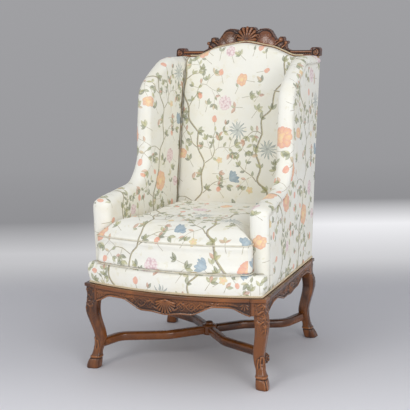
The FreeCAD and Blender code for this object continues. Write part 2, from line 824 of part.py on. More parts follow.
# Seat stuffing between the arms, and the border that fronts it
fabric_block = plan_prism(
    fabric_front_half, border_inset, fabric_back_half, rail_back_y, rail_top, border_top
)
arm_front_y = rail_front_y + arm_setback
border = fabric_block.common(box(-far, far, -far, arm_front_y - rest_gap, 0.0, far))
rim = [edge for edge in border.Edges
       if edge.BoundBox.ZMin > border_top - 1e-6 and edge.BoundBox.YMin < arm_front_y - 1.0]
border = border.makeFillet(border_edge_r, rim)
nodes["front_border"] = solid_of(border.cut([nodes["arm_pad_right"], nodes["arm_pad_left"]]))
back_zone = back_band(-far, far, behind, back_t, rail_top - side_t, crest_top)
stuffing = fabric_block.common(box(-far, far, arm_front_y - rest_gap, far, 0.0, far))
nodes["seat_stuffing"] = solid_of(stuffing.cut(inner_slabs + [back_zone]))

# Crest rail over the posts and the top rail
upper = [
    (crest_half, crest_scroll_h, crest_scroll_r),
    (crest_half - crest_scroll_w, crest_scroll_h, crest_scroll_low_r),
    (crest_half - crest_scroll_w - crest_neck_w, crest_band_h, crest_neck_r),
] + crest_leaf + [(crest_shell_half, crest_shell_h, crest_shell_r)]
crest_points = [(-crest_half, wing_top)]
crest_points += [(-x, wing_top + h) for x, h, r in upper]
crest_points += [(x, wing_top + h) for x, h, r in reversed(upper)] + [(crest_half, wing_top)]
crest_radii = [0.0] + [r for x, h, r in upper] + [r for x, h, r in reversed(upper)] + [0.0]
crest_face = prism(rounded_wire(crest_points, crest_radii, on_xz), Vector(0, 2.0 * far, 0))
crest_face.translate(Vector(0, -far, 0))
crest_band = back_band(
    -far, far, crest_inset, crest_inset + crest_t, wing_top - crest_spare, crest_top + 2.0 * crest_spare)
nodes["crest_rail"] = solid_of(crest_band.common(crest_face).cut(below_crest))

# Trims: gimp along the foot of the fabric and under the crest
gimp_top = rail_top + gimp_w
outer = plan_prism(
    fabric_front_half + gimp_t, border_inset - gimp_t,
    fabric_back_half + gimp_t, rail_back_y + back_offset + gimp_t,
    rail_top, gimp_top,
)
inner = plan_prism(
    fabric_front_half, border_inset, fabric_back_half, rail_back_y + back_offset, 0.0, far
)
gimp_ring = outer.cut(inner).cut([rear_of_back, rear_cover])
gimp_ring = gimp_ring.cut([nodes["outer_side_cover_right"], nodes["outer_side_cover_left"]])
nodes["edge_gimp"] = solid_of(gimp_ring)
crest_gimp = back_band(
    -far, far, crest_inset + crest_t, crest_inset + crest_t + gimp_t, wing_top - crest_spare, crest_top
)
crest_gimp = crest_gimp.common(crest_line(gimp_w)).cut(below_crest)
nodes["crest_gimp"] = solid_of(crest_gimp.common(box(-inner_half, inner_half, -far, far, 0.0, far)))


# Loose cushion: crowned top and bottom over an upright boxing, with ears in front of the arms

cushion_z0 = border_top + rest_gap
seam_low = cushion_z0 + cushion_seam_low
seam_high = seam_low + cushion_box_h
cushion_front_y = rail_front_y - front_bow + cushion_ear_inset
cushion_back_y = back_y(border_top, back_t) - cushion_clear - piping_r
side_gap = cushion_clear + piping_r


def cushion_half(y):
    return fabric_half(y) - side_t / math.cos(splay) - side_gap


def cushion_wire(scale, z):
    """The cushion's plan, scaled about its middle: bowed front, ears, straight sides and back."""
    bow, end_y = front_arc(cushion_front_half, cushion_ear_inset)
    ear_y = arm_front_y - cushion_ear_gap
    tangent_y = 2.0 * cushion_front_y - end_y
    right = [
        (cushion_half(cushion_back_y), cushion_back_y, cushion_corner_r),
        (cushion_half(ear_y), ear_y, cushion_ear_r),
        (cushion_front_half, ear_y, cushion_ear_gap),
        (cushion_front_half, end_y, cushion_corner_r),
    ]
    outline = right + [(0.0, tangent_y, bow.Curve.Radius * cushion_bow_share)]
    outline += [(-x, y, radius) for x, y, radius in reversed(right)]
    points = [(x, y) for x, y, radius in outline]
    radii = [radius for x, y, radius in outline]
    wire = rounded_wire(points, radii, on_xy)
    middle = Vector(0, (cushion_front_y + cushion_back_y) / 2.0, 0)
    wire.translate(middle * -1.0)
    grow = FreeCAD.Matrix()
    grow.scale(scale, scale, 1.0)
    wire = wire.transformGeometry(grow) if abs(scale - 1.0) > 1e-9 else wire
    wire.translate(middle + Vector(0, 0, z))
    return wire


box_mid = (seam_low + seam_high) / 2.0
crown = [(scale, seam_high + cushion_crown * share) for scale, share in cushion_dome]
cushion_parts = []
for layer in (
    [(cushion_dome[1][0], cushion_z0), (1.0, seam_low)],
    [(1.0, seam_low), (cushion_bulge, box_mid), (1.0, seam_high)],
    crown,
):
    cushion_parts.append(Part.makeLoft([cushion_wire(scale, z) for scale, z in layer], True, False))
cushion = cushion_parts[0].fuse(cushion_parts[1:])
piping = []
for z in (seam_low, seam_high):
    path = cushion_wire(1.0, z)
    first = path.OrderedEdges[0]
    start = first.valueAt(first.FirstParameter)
    tangent = first.tangentAt(first.FirstParameter)
    ring = Part.Wire([Part.makeCircle(piping_r, start, tangent)])
    piping.append(path.makePipeShell([ring], True, True))
nodes["seat_cushion"] = solid_of(cushion.cut(piping))
nodes["cushion_piping"] = group([solid_of(item) for item in piping])

for node, shape in nodes.items():
    shape.exportStep("parts/" + node + ".step")
    print(node, len(shape.Solids), round(shape.Volume / 1000.0, 1), shape.isValid())
whole = group(list(nodes.values())).BoundBox
print("box", whole)
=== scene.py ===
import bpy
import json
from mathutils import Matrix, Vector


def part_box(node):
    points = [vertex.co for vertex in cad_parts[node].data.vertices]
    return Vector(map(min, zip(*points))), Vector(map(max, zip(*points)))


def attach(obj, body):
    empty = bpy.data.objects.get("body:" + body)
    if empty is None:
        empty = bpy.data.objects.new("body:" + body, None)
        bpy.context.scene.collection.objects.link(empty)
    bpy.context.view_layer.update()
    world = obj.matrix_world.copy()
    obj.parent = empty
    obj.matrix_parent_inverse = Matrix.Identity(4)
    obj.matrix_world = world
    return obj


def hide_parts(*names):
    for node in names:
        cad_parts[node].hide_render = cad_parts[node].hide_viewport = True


bl_info = {"name": "Carved wing armchair", "version": (1, 0, 0), "blender": (4, 5, 0),
    "location": "3D View > Sidebar > Armchair",
    "description": "Upholstery, carving, trims and finishes of a wing armchair, built round its packed frame",
    "category": "Object", }

import json
import math

import bmesh
import bpy
import numpy as np
from mathutils import Matrix, Vector
from mathutils.geometry import delaunay_2d_cdt

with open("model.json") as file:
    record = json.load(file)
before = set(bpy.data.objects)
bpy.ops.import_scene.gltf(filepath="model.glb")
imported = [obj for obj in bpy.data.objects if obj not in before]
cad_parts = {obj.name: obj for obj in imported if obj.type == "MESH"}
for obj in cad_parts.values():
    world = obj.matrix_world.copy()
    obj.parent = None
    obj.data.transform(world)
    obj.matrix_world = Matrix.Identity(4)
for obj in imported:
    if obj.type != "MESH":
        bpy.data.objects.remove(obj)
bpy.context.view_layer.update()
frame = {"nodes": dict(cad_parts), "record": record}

# Places of the frame, in metres
RAIL_TOP = 0.313
RAIL_FRONT_Y = -0.35638
RAIL_BACK_Y = 0.27362
RAIL_FRONT_HALF = 0.334
RAIL_BACK_HALF = 0.304
FRONT_BOW = 0.058
FABRIC_FRONT_HALF = 0.322
FABRIC_BACK_HALF = 0.299
SEAT_DEPTH = 0.63
BORDER_INSET = 0.011
BORDER_TOP = 0.388
WING_TOP = 1.078
SIDE_T = 0.06
EDGE_R = 0.025
BACK_R = 8.4
BACK_CENTRE_Z = -0.611
BACK_T = 0.084
CREST_FACE = 0.034
CUSHION_FLOOR = 0.3883
SEAM_LOW = 0.3923
SEAM_HIGH = 0.4883
PIPING_R = 0.0018
BLOCK_SIDE = 0.046

SPLAY = math.atan((FABRIC_FRONT_HALF - FABRIC_BACK_HALF) / SEAT_DEPTH)
BOW_R = (RAIL_FRONT_HALF ** 2 + FRONT_BOW ** 2) / (2.0 * FRONT_BOW)
BOW_CENTRE_Y = RAIL_FRONT_Y - FRONT_BOW + BOW_R
BACK_FOOT = math.sqrt(BACK_R ** 2 - (RAIL_TOP - BACK_CENTRE_Z) ** 2)

# Right half of the side panel's outline, from the arm's foot over arm and wing to the back: y, z, radius
SIDE_OUTLINE = [(0.045, 0.313, 0.0), (0.045, 0.6, 0.03), (0.349, 0.6413, 0.125),
    (0.377, 0.979, 0.12), (0.5522, 1.078, 0.12), (0.9, 1.078, 0.0), ]
# Lower line of the crest rail, from its middle outwards: x, height above the wing, radius
CREST_ARCH = [(0.0, 0.0561, 0.15), (0.1221, 0.0322, 0.14), (0.197, 0.0, 0.06), (0.239, 0.0, 0.0)]


def length_prop(name, description, default, least=0.0):
    return bpy.props.FloatProperty(
        name=name, description=description, default=default, min=least, unit="LENGTH")


class ChairSizes(bpy.types.PropertyGroup):
    """Sizes of the upholstery and of the carving."""

    fabric_voxel: length_prop("Fabric mesh", "Edge length of the mesh under the printed fabric", 0.005, 0.003)
    wood_voxel: length_prop("Carving mesh", "Edge length of the mesh that carries the carving", 0.0017, 0.001)
    back_crown: length_prop("Back crown", "How far the back's stuffing swells at its middle", 0.01)
    arm_bulge: length_prop("Arm bulge", "How far the arm's outer face stands out at its front", 0.0085)
    arm_swell: length_prop("Arm swell", "How far the arm's front roll swells outwards", 0.003)
    cushion_voxel: length_prop("Cushion mesh", "Edge length of the cushion's mesh", 0.007, 0.004)
    cushion_pressure: bpy.props.FloatProperty(
        name="Cushion pressure", description="Pressure that fills the cushion in the simulation", default=4.0)
    cushion_cap: length_prop("Cushion swell", "Furthest that a point of the cushion may swell", 0.01)
    gimp_pitch: length_prop("Braid pitch", "Length of one crossing of the gimp braid", 0.013)
    gimp_cord: length_prop("Braid cord", "Radius of a cord of the gimp braid", 0.0014)
    welt_r: length_prop("Welt", "Radius of the cord in the seam between wing and back", 0.0022)


class PrintSizes(bpy.types.PropertyGroup):
    """Sizes of the printed vine."""

    tile_w: length_prop("Repeat width", "Width of one repeat of the print", 0.64)
    tile_h: length_prop("Repeat height", "Height of one repeat of the print", 0.72)
    trunk: length_prop("Trunk", "Half width of the thickest stems", 0.004)
    leaf: length_prop("Leaf", "Usual length of a leaf", 0.028)
    seed: bpy.props.IntProperty(name="Seed", description="Seed of the print's layout", default=5)


def colour_prop(name, description, default):
    return bpy.props.FloatVectorProperty(
        name=name, description=description, subtype="COLOR", size=3, min=0.0, max=1.0, default=default)


def srgb(red, green, blue):
    """A colour as it is seen, from 0 to 255, made linear."""
    parts = []
    for part in (red, green, blue):
        part = part / 255.0
        parts.append(part / 12.92 if part <= 0.04045 else ((part + 0.055) / 1.055) ** 2.4)
    return tuple(parts)


class ChairColours(bpy.types.PropertyGroup):
    """Colours of the finishes."""

    ivory: colour_prop("Ivory", "Ground of the printed fabric", srgb(240, 239, 230))
    ivory_warm: colour_prop("Warm ivory", "Aged parts of the ground", srgb(236, 231, 212))
    stem: colour_prop("Stem", "Lit side of the printed stems", srgb(168, 158, 108))
    stem_dark: colour_prop("Dark stem", "Shaded side of the printed stems", srgb(112, 96, 82))
    leaf: colour_prop("Leaf", "Printed leaves", srgb(150, 152, 110))
    leaf_grey: colour_prop("Grey leaf", "Printed leaves in shade", srgb(120, 128, 108))
    leaf_gold: colour_prop("Gold leaf", "Printed leaves in light", srgb(200, 196, 142))
    coral: colour_prop("Coral", "Printed coral flowers", srgb(230, 150, 124))
    peach: colour_prop("Peach", "Hearts of the coral flowers", srgb(246, 214, 150))
    pink: colour_prop("Pink", "Printed pink flowers", srgb(224, 186, 192))
    slate: colour_prop("Slate blue", "Printed blue flowers", srgb(104, 138, 160))
    mist: colour_prop("Grey blue", "Printed spiky flowers", srgb(132, 146, 146))
    straw: colour_prop("Straw", "Printed yellow flowers", srgb(228, 208, 148))
    walnut: colour_prop("Walnut", "Lit walnut", srgb(124, 70, 26))
    walnut_dark: colour_prop("Dark walnut", "Grain and hollows of the walnut", srgb(54, 25, 9))
    crest: colour_prop("Crest walnut", "Redder walnut of the crest", srgb(98, 50, 28))
    beech: colour_prop("Beech", "Hidden frame", srgb(196, 164, 122))
    jute: colour_prop("Jute", "Webbing and hessian", srgb(176, 152, 112))
    gimp: colour_prop("Gimp", "Braid along the fabric's edges", srgb(226, 210, 178))
    welt: colour_prop("Welt", "Cord in the seam of the wings", srgb(120, 106, 74))
    floor: colour_prop("Floor", "Plain floor", srgb(226, 226, 231))
    wall: colour_prop("Wall", "Plain backdrop", srgb(163, 163, 168))


def sizes():
    return bpy.context.scene.chair_sizes


def prints():
    return bpy.context.scene.chair_print


def colours():
    return bpy.context.scene.chair_colours


# Shader maths

class Value:
    """One output socket of a shader node, with arithmetic."""

    def __init__(self, maker, socket):
        self.maker = maker
        self.socket = socket

    def math(self, operation, *others, clamp=False):
        inputs = {index: item for index, item in enumerate((self,) + others)}
        settings = {"operation": operation, "use_clamp": clamp}
        return self.maker.node("ShaderNodeMath", settings, inputs).out()

    def __add__(self, other):
        return self.math("ADD", other)

    __radd__ = __add__

    def __sub__(self, other):
        return self.math("SUBTRACT", other)

    def __rsub__(self, other):
        return self.maker.node("ShaderNodeMath", {"operation": "SUBTRACT"}, {0: other, 1: self}).out()

    def __mul__(self, other):
        return self.math("MULTIPLY", other)

    __rmul__ = __mul__

    def __truediv__(self, other):
        return self.math("DIVIDE", other)

    def __pow__(self, other):
        return self.math("POWER", other)

    def clamped(self):
        return self.math("ADD", 0.0, clamp=True)

    def step(self, low, high):
        """Smooth rise from 0 at low to 1 at high; low may be the larger."""
        turned = low > high
        first, last = (high, low) if turned else (low, high)
        settings = {"interpolation_type": "SMOOTHSTEP"}
        made = self.maker.node("ShaderNodeMapRange", settings, {0: self, 1: first, 2: last}).out()
        return 1.0 - made if turned else made


class Made:
    """A node that was just made; out() gives one of its outputs."""

    def __init__(self, maker, node):
        self.maker = maker
        self.node = node

    def out(self, which=0):
        return Value(self.maker, self.node.outputs[which])


class Finish:
    """A material and the method that adds its nodes."""

    def __init__(self, name):
        self.material = bpy.data.materials.new(name)
        self.material.use_nodes = True
        self.tree = self.material.node_tree
        self.tree.nodes.clear()
        self.shader = self.node("ShaderNodeBsdfPrincipled").node
        self.output = self.node("ShaderNodeOutputMaterial").node
        self.tree.links.new(self.shader.outputs[0], self.output.inputs[0])

    def node(self, kind, settings=None, inputs=None):
        made = self.tree.nodes.new(kind)
        for key, value in (settings or {}).items():
            setattr(made, key, value)
        for key, value in (inputs or {}).items():
            self.feed(made.inputs[key], value)
        return Made(self, made)

    def feed(self, socket, value):
        if isinstance(value, Value):
            self.tree.links.new(value.socket, socket)
        elif isinstance(value, (tuple, list)) or hasattr(value, "r") or hasattr(value, "foreach_get"):
            value = tuple(value)
            size = len(socket.default_value)
            socket.default_value = value + (1.0,) * (size - len(value))
        else:
            socket.default_value = value

    def mix(self, factor, first, second, blend="MIX"):
        settings = {"data_type": "RGBA", "blend_type": blend}
        return self.node("ShaderNodeMix", settings, {0: factor, 6: first, 7: second}).out(2)

    def ramp(self, factor, stops, interpolation="LINEAR"):
        made = self.node("ShaderNodeValToRGB", None, {0: factor})
        table = made.node.color_ramp
        table.interpolation = interpolation
        while len(table.elements) < len(stops):
            table.elements.new(1.0)
        for element, (place, colour) in zip(table.elements, stops):
            element.position = place
            element.color = tuple(colour) + (1.0,)
        return made.out()

    def attribute(self, name):
        made = self.node("ShaderNodeAttribute", {"attribute_name": name})
        parts = self.node("ShaderNodeSeparateXYZ", None, {0: made.out(1)})
        return parts.out(0), parts.out(1), parts.out(2)

    def place(self, scale=(1.0, 1.0, 1.0)):
        """Object coordinates, stretched by scale."""
        coordinates = self.node("ShaderNodeTexCoord").out(3)
        return self.node("ShaderNodeMapping", None, {0: coordinates, 3: scale}).out()

    def noise(self, vector, scale, detail=3.0, roughness=0.5):
        inputs = {0: vector, 2: scale, 3: detail, 4: roughness}
        return self.node("ShaderNodeTexNoise", None, inputs).out()

    def bump(self, height, strength, distance):
        inputs = {"Strength": strength, "Distance": distance, "Height": height}
        made = self.node("ShaderNodeBump", None, inputs).out()
        self.feed(self.shader.inputs["Normal"], made)

    def set(self, **values):
        for key, value in values.items():
            self.feed(self.shader.inputs[key.replace("_", " ")], value)
        return self.material


finishes = {}


def finish_of(name, maker, *arguments):
    if name not in finishes:
        finishes[name] = maker(name, *arguments)
    return finishes[name]


class Drawn:
    """Flower drawn petal by petal: what it covers, how light each petal is and its dark lines."""

    def __init__(self):
        self.mask = None

    def petal(self, reach, light):
        cover = reach.step(-0.03, 0.05)
        rim = reach.step(0.17, 0.02) * cover
        glow = (reach * 0.55 + light).clamped()
        if self.mask is None:
            self.mask, self.light, self.line = cover, glow, rim
            return
        self.mask = self.mask.math("MAXIMUM", cover)
        self.light = self.light + (glow - self.light) * cover
        self.line = self.line + (rim - self.line) * cover


def printed_fabric(name):
    """Ivory sateen with the printed vine, drawn from the layout that the mesh carries."""
    own = colours()
    mat = Finish(name)
    across, half = mat.attribute("stem")[1:]
    bloom_x, bloom_y, code = mat.attribute("bloom")
    # The cloth attribute's third number is painted shade for creases, seams and undersides
    cloth_x, cloth_y, painted_shade = mat.attribute("cloth")

    cloth = mat.node("ShaderNodeCombineXYZ", None, {0: cloth_x, 1: cloth_y}).out()
    mottle = mat.noise(cloth, 9.0, 4.0, 0.6)
    wash = mat.noise(cloth, 120.0, 3.0, 0.65)
    waver = mat.node("ShaderNodeTexNoise", None, {0: cloth, 2: 52.0, 3: 2.0}).out(1)
    waver = mat.node("ShaderNodeSeparateXYZ", None, {0: waver})
    sway_x = waver.out(0) - 0.5
    sway_y = waver.out(1) - 0.5
    ground = mat.mix(mottle.step(0.42, 0.72) * 0.55, own.ivory, own.ivory_warm)
    shadow = mat.noise(cloth, 34.0, 3.0, 0.6)
    ground = mat.mix(shadow.step(0.6, 0.68) * 0.3, ground, srgb(214, 206, 164))

    # Stems: lit on one side, taupe on the other, with broken bark strokes
    bark = mat.noise(cloth, 420.0, 2.0, 0.5)
    off = across + sway_x * 0.0016
    stem_mask = (half - off.math("ABSOLUTE")).step(-0.0003, 0.0006)
    side = (off / half.math("MAXIMUM", 0.0004) * 0.5 + 0.5 + (bark - 0.5) * 1.1).step(0.3, 0.8)
    stem_colour = mat.mix(side, own.stem, own.stem_dark)

    def leaf_layer(attribute, under):
        """Pointed leaves with a light rib, a darker half and fine veins."""
        leaf_x, leaf_y, tone = mat.attribute(attribute)
        leaf_x = leaf_x + sway_y * 0.1
        leaf_y = leaf_y + sway_x * 0.12
        body = (leaf_x * (1.0 - leaf_x)).math("MAXIMUM", 0.0)
        width = body * (1.16 - leaf_x * 0.45)
        spread = leaf_y.math("ABSOLUTE")
        cover = (width - spread).step(-0.012, 0.022) * leaf_x.step(0.0, 0.03) * leaf_x.step(1.0, 0.97)
        rib = spread.step(0.026, 0.008)
        vein = ((leaf_x * 1.6 - spread * 2.4) * 34.0).math("SINE").step(0.35, 0.95)
        rim = (width - spread).step(0.05, 0.012)
        base = mat.ramp(tone, [
            (0.0, own.leaf_grey), (0.3, own.leaf), (0.5, own.leaf_gold), (0.68, srgb(154, 162, 132)),
            (0.84, srgb(212, 208, 164)), (0.9, srgb(226, 176, 146)), (1.0, srgb(206, 150, 132))])
        shade = (leaf_y.step(-0.03, 0.05) * 0.3 + rim * 0.34 + vein * 0.12 + (bark - 0.5) * 0.3).clamped()
        painted = mat.mix(shade, base, own.leaf_grey, "MULTIPLY")
        painted = mat.mix(rib * 0.5, painted, own.leaf_gold)
        return mat.mix(cover * (0.7 + (wash - 0.5) * 0.9).clamped(), under, painted)

    # Flowers: code holds the kind before the point and a random tone after it
    kind = code.math("FLOOR")
    tone = code - kind
    bloom_x = bloom_x + sway_x * 0.42
    bloom_y = bloom_y + sway_y * 0.42
    radius = (bloom_x * bloom_x + bloom_y * bloom_y).math("SQRT")
    angle = bloom_y.math("ARCTAN2", bloom_x)

    def oval(x, y, wide, tall, turn):
        """How far inside an oval the point lies: 1 at its middle and 0 on its rim."""
        right = bloom_x - x
        up = bloom_y - y
        first = right * (math.cos(turn) / wide) + up * (math.sin(turn) / wide)
        second = up * (math.cos(turn) / tall) - right * (math.sin(turn) / tall)
        return 1.0 - (first * first + second * second).math("SQRT")

    peony = Drawn()
    for shape, light in (((-0.46, 0.36, 0.42, 0.48, 0.5), 0.1),
        ((0.46, 0.34, 0.4, 0.48, -0.5), 0.02), ((0.0, 0.56, 0.44, 0.4, 0.0), 0.3),
        ((-0.52, -0.14, 0.44, 0.38, 0.3), 0.0), ((0.52, -0.12, 0.42, 0.4, -0.3), 0.12),
        ((-0.03, 0.1, 0.46, 0.54, 0.15), 0.42), ((-0.2, -0.42, 0.44, 0.34, 0.1), 0.08),
        ((0.26, -0.4, 0.36, 0.32, -0.2), 0.22), ):
        peony.petal(oval(*shape), light)
    bell = Drawn()
    for shape, light in (((-0.58, -0.02, 0.24, 0.56, 0.75), 0.05),
        ((0.58, -0.02, 0.24, 0.56, -0.75), 0.25), ((-0.28, 0.02, 0.3, 0.74, 0.28), 0.3),
        ((0.3, 0.02, 0.28, 0.72, -0.3), 0.0), ((0.02, -0.04, 0.26, 0.7, 0.0), 0.42), ):
        bell.petal(oval(*shape), light)
    bud = Drawn()
    for shape, light in (((0.0, 0.1, 0.52, 0.74, 0.0), 0.1),
        ((-0.24, -0.06, 0.32, 0.64, 0.25), 0.28), ((0.26, -0.1, 0.3, 0.58, -0.25), 0.0), ):
        bud.petal(oval(*shape), light)

    turns = angle * (13.0 / math.tau)
    ray = (turns.math("FRACT") * 2.0 - 1.0).math("ABSOLUTE")
    inner = ((turns * 1.31 + 0.4).math("FRACT") * 2.0 - 1.0).math("ABSOLUTE")
    spiky_reach = (1.0 - ray) * 0.78 + 0.26 - radius
    spiky_mask = spiky_reach.step(-0.03, 0.05)
    spiky_light = ((1.0 - inner) * 0.55 + 0.18 - radius).step(-0.05, 0.08) * 0.55
    spiky_light = (spiky_light + (turns.math("FLOOR") * 2.4).math("SINE") * 0.25 + 0.15).clamped()
    spiky_line = (spiky_reach.step(0.16, 0.02) * 0.7 + radius.step(0.2, 0.08)).clamped()

    puffs = mat.node("ShaderNodeTexVoronoi", {"voronoi_dimensions": "2D"}, {0: cloth, 2: 118.0}).out()
    cluster_mask = (0.92 - radius + (wash - 0.5) * 0.5).step(0.0, 0.1)
    cluster_light = puffs.step(0.62, 0.12)
    cluster_line = puffs.step(0.5, 0.78)

    five = (angle * 2.5).math("COSINE").math("ABSOLUTE")
    star_reach = five * 0.34 + 0.58 - radius
    star_mask = star_reach.step(-0.03, 0.05)
    star_light = radius.step(0.55, 0.15)
    star_line = (star_reach.step(0.14, 0.02) * 0.7 + five.step(0.25, 0.05) * 0.6).clamped()

    def of_kind(number):
        return (kind - float(number)).math("ABSOLUTE").step(0.6, 0.4)

    weights = [of_kind(number) for number in range(6)]

    def chosen(*values):
        total = weights[0] * values[0]
        for weight, value in zip(weights[1:], values[1:]):
            total = total + weight * value
        return total

    bloom_mask = chosen(peony.mask, cluster_mask, star_mask, spiky_mask, bud.mask, bell.mask)
    bloom_line = chosen(peony.line, cluster_line, star_line, spiky_line, bud.line, bell.line)
    bloom_light = chosen(peony.light, cluster_light, star_light, spiky_light, bud.light, bell.light)
    bloom_light = (bloom_light + (wash - 0.5) * 1.5 + (tone - 0.5) * 0.4 + 0.04).clamped()
    place = kind / 6.0 + 0.05
    steps = [index / 6.0 for index in range(6)]
    petal = mat.ramp(place, list(zip(steps, [
        own.coral, own.pink, own.straw, own.mist, own.coral, own.slate])), "CONSTANT")
    heart = mat.ramp(place, list(zip(steps, [
        own.peach, srgb(240, 226, 226), srgb(240, 196, 150), srgb(204, 210, 202), srgb(240, 178, 142),
        srgb(158, 182, 196)])), "CONSTANT")
    outline = mat.ramp(place, list(zip(steps, [
        srgb(212, 128, 122), srgb(186, 146, 160), srgb(186, 158, 96), srgb(84, 98, 98),
        srgb(204, 118, 100), srgb(66, 98, 124)])), "CONSTANT")
    bloom_colour = mat.mix(bloom_light, petal, heart)
    bloom_colour = mat.mix(bloom_line * 0.55, bloom_colour, outline)

    faded = (0.76 + (wash - 0.5) * 0.8).clamped()
    colour = leaf_layer("leaf_under", ground)
    colour = mat.mix(stem_mask * faded, colour, stem_colour)
    colour = leaf_layer("leaf", colour)
    colour = mat.mix(bloom_mask * (faded - 0.02).clamped(), colour, bloom_colour)
    # Painted shade: creases, seams and undersides that the mesh marks are darkened for the shade that falls
    # there
    colour = mat.mix(painted_shade * 0.55, colour, srgb(128, 112, 84), "MULTIPLY")

    warp = (cloth_x * (math.tau / 0.0011)).math("SINE")
    weft = (cloth_y * (math.tau / 0.0014)).math("SINE")
    slub = mat.noise(cloth, 900.0, 2.0, 0.7)
    mat.bump(warp * weft * 0.35 + slub, 0.22, 0.0005)
    rough = 0.58 + mottle * 0.14 - stem_mask * 0.05
    return mat.set(Base_Color=colour, Roughness=rough, Sheen_Weight=0.08, Sheen_Roughness=0.45,
        Specular_IOR_Level=0.3)


def walnut(name, light, stretch):
    """Waxed walnut whose grain runs along the stretched axis; the mesh's relief darkens the hollows and the
    parts given painted shade, and lightens raised parts with rubbed wear and a painted highlight.
    """
    own = colours()
    mat = Finish(name)
    relief = mat.attribute("relief")[0]
    grain_place = mat.place(stretch)
    warp = mat.noise(grain_place, 7.0, 3.0, 0.55)
    bands = ((warp * 27.0).math("SINE") * 0.5 + 0.5)
    pores = mat.noise(grain_place, 120.0, 3.0, 0.65)
    patch = mat.noise(mat.place(), 11.0, 3.0, 0.6)
    grain = (bands * 0.4 + pores * 0.5 + patch * 0.45 - 0.2).clamped()
    colour = mat.mix(grain.step(0.22, 0.74) * 0.92, light, own.walnut_dark)
    colour = mat.mix(patch.step(0.5, 0.74) * 0.5, colour, srgb(166, 98, 40))
    # Low relief darkens the colour: hollows and painted shade. Raised relief lightens it: partly rubbed wear,
    # partly a painted highlight
    hollow_and_shade = relief.step(0.05, -0.85)
    wear_and_highlight = relief.step(0.15, 0.95)
    colour = mat.mix(hollow_and_shade * 0.86, colour, srgb(32, 15, 8))
    colour = mat.mix(wear_and_highlight * 0.34, colour, srgb(184, 118, 62))
    mat.bump(grain * 0.4 + pores * 0.6, 0.14, 0.0006)
    rough = (0.17 + pores * 0.14 + hollow_and_shade * 0.45).clamped()
    coat = (0.45 - hollow_and_shade * 0.45).clamped()
    return mat.set(Base_Color=colour, Roughness=rough, Coat_Weight=coat, Coat_Roughness=0.1,
        Specular_IOR_Level=0.45)


def studio_paper(eye, right, level):
    """Pale floor that keeps the shadows and is painted darker further off; far off, seen directly or in
    reflections, it glows with painted light: an even grey wall over a painted light band.
    """
    mat = Finish("studio_paper")
    parts = mat.node("ShaderNodeSeparateXYZ", None, {0: mat.place()})
    x, y, z = parts.out(0), parts.out(1), parts.out(2)
    ahead = x * level.x + y * level.y - (eye.x * level.x + eye.y * level.y)
    aside = x * right.x + y * right.y - (eye.x * right.x + eye.y * right.y)
    near, far = 2.8, 10.5
    share = (ahead + z - near) * (1.0 / (far - near))

    def painted_light_greys(painted_shadow_at, light_band_at, band):
        """Painted light: pale floor that dims into a painted shadow, a painted light band before the wall,
        the wall's foot in painted shade, and its even grey.
        """
        stops = ((near, 205), (painted_shadow_at, 168), (light_band_at, band), (light_band_at + 0.9, 145), (far, 160))
        return mat.ramp(share.clamped(), [
            ((place - near) / (far - near), srgb(grey, grey, grey + 3)) for place, grey in stops])

    # The painted light band is brighter on the right than on the left
    left = painted_light_greys(3.9, 5.3, 200)
    other = painted_light_greys(4.2, 6.0, 240)
    colour = mat.mix(aside.step(-0.9, 0.9), left, other)
    path = mat.node("ShaderNodeLightPath")
    seen = path.out(0).math("MAXIMUM", path.out(3)).math("MAXIMUM", path.out(6))
    mat.bump(mat.noise(mat.place(), 120.0, 2.0, 0.5), 0.03, 0.001)
    # Painted shade: the lit floor is painted darker further from the camera
    floor_with_painted_shade = mat.mix(ahead.step(2.8, 3.8), colours().floor, srgb(200, 200, 205))
    mat.set(Base_Color=floor_with_painted_shade, Roughness=0.62 + mat.noise(mat.place(), 3.0) * 0.05)
    # Far off, the painted greys glow in place of the lit floor, though no lamp is there
    glow = mat.node("ShaderNodeEmission", None, {0: colour, 1: 1.0}).out()
    both = mat.node("ShaderNodeMixShader", None, {
        0: seen * ahead.step(4.35, 5.1), 1: Value(mat, mat.shader.outputs[0]), 2: glow}).out()
    mat.tree.links.new(both.socket, mat.output.inputs[0])
    return mat.material


def plain_beech(name):
    own = colours()
    mat = Finish(name)
    place = mat.place((9.0, 9.0, 1.0))
    grain = mat.noise(place, 14.0, 4.0, 0.6)
    fleck = mat.node("ShaderNodeTexVoronoi", None, {0: mat.place((60.0, 60.0, 9.0)), 2: 9.0}).out()
    colour = mat.mix(grain.step(0.3, 0.75) * 0.5, own.beech, srgb(150, 112, 76))
    colour = mat.mix(fleck.step(0.12, 0.05) * 0.5, colour, srgb(120, 84, 54))
    mat.bump(grain, 0.2, 0.0005)
    return mat.set(Base_Color=colour, Roughness=0.62 + grain * 0.2)


def plain_steel(name):
    mat = Finish(name)
    scratch = mat.noise(mat.place((1.0, 40.0, 40.0)), 60.0, 3.0, 0.6)
    stain = mat.noise(mat.place(), 220.0, 3.0, 0.6)
    colour = mat.mix(stain.step(0.45, 0.75), srgb(150, 148, 144), srgb(104, 88, 72))
    mat.bump(scratch, 0.15, 0.0003)
    return mat.set(Base_Color=colour, Metallic=1.0, Roughness=0.36 + scratch * 0.2)


def jute_cloth(name, thread, dark):
    """Plain weave of thick jute threads."""
    own = colours()
    mat = Finish(name)
    parts = mat.node("ShaderNodeSeparateXYZ", None, {0: mat.place()})
    warp = (parts.out(0) * (math.tau / thread)).math("SINE")
    weft = (parts.out(1) * (math.tau / thread)).math("SINE")
    rise = (parts.out(2) * (math.tau / thread)).math("SINE")
    weave = (warp * weft + warp * rise) * 0.25 + 0.5
    fuzz = mat.noise(mat.place(), 260.0, 4.0, 0.7)
    colour = mat.mix((weave * 0.7 + fuzz * 0.5).clamped(), dark, own.jute)
    mat.bump(weave + fuzz * 0.4, 0.5, thread * 0.5)
    return mat.set(Base_Color=colour, Roughness=0.86, Sheen_Weight=0.1)


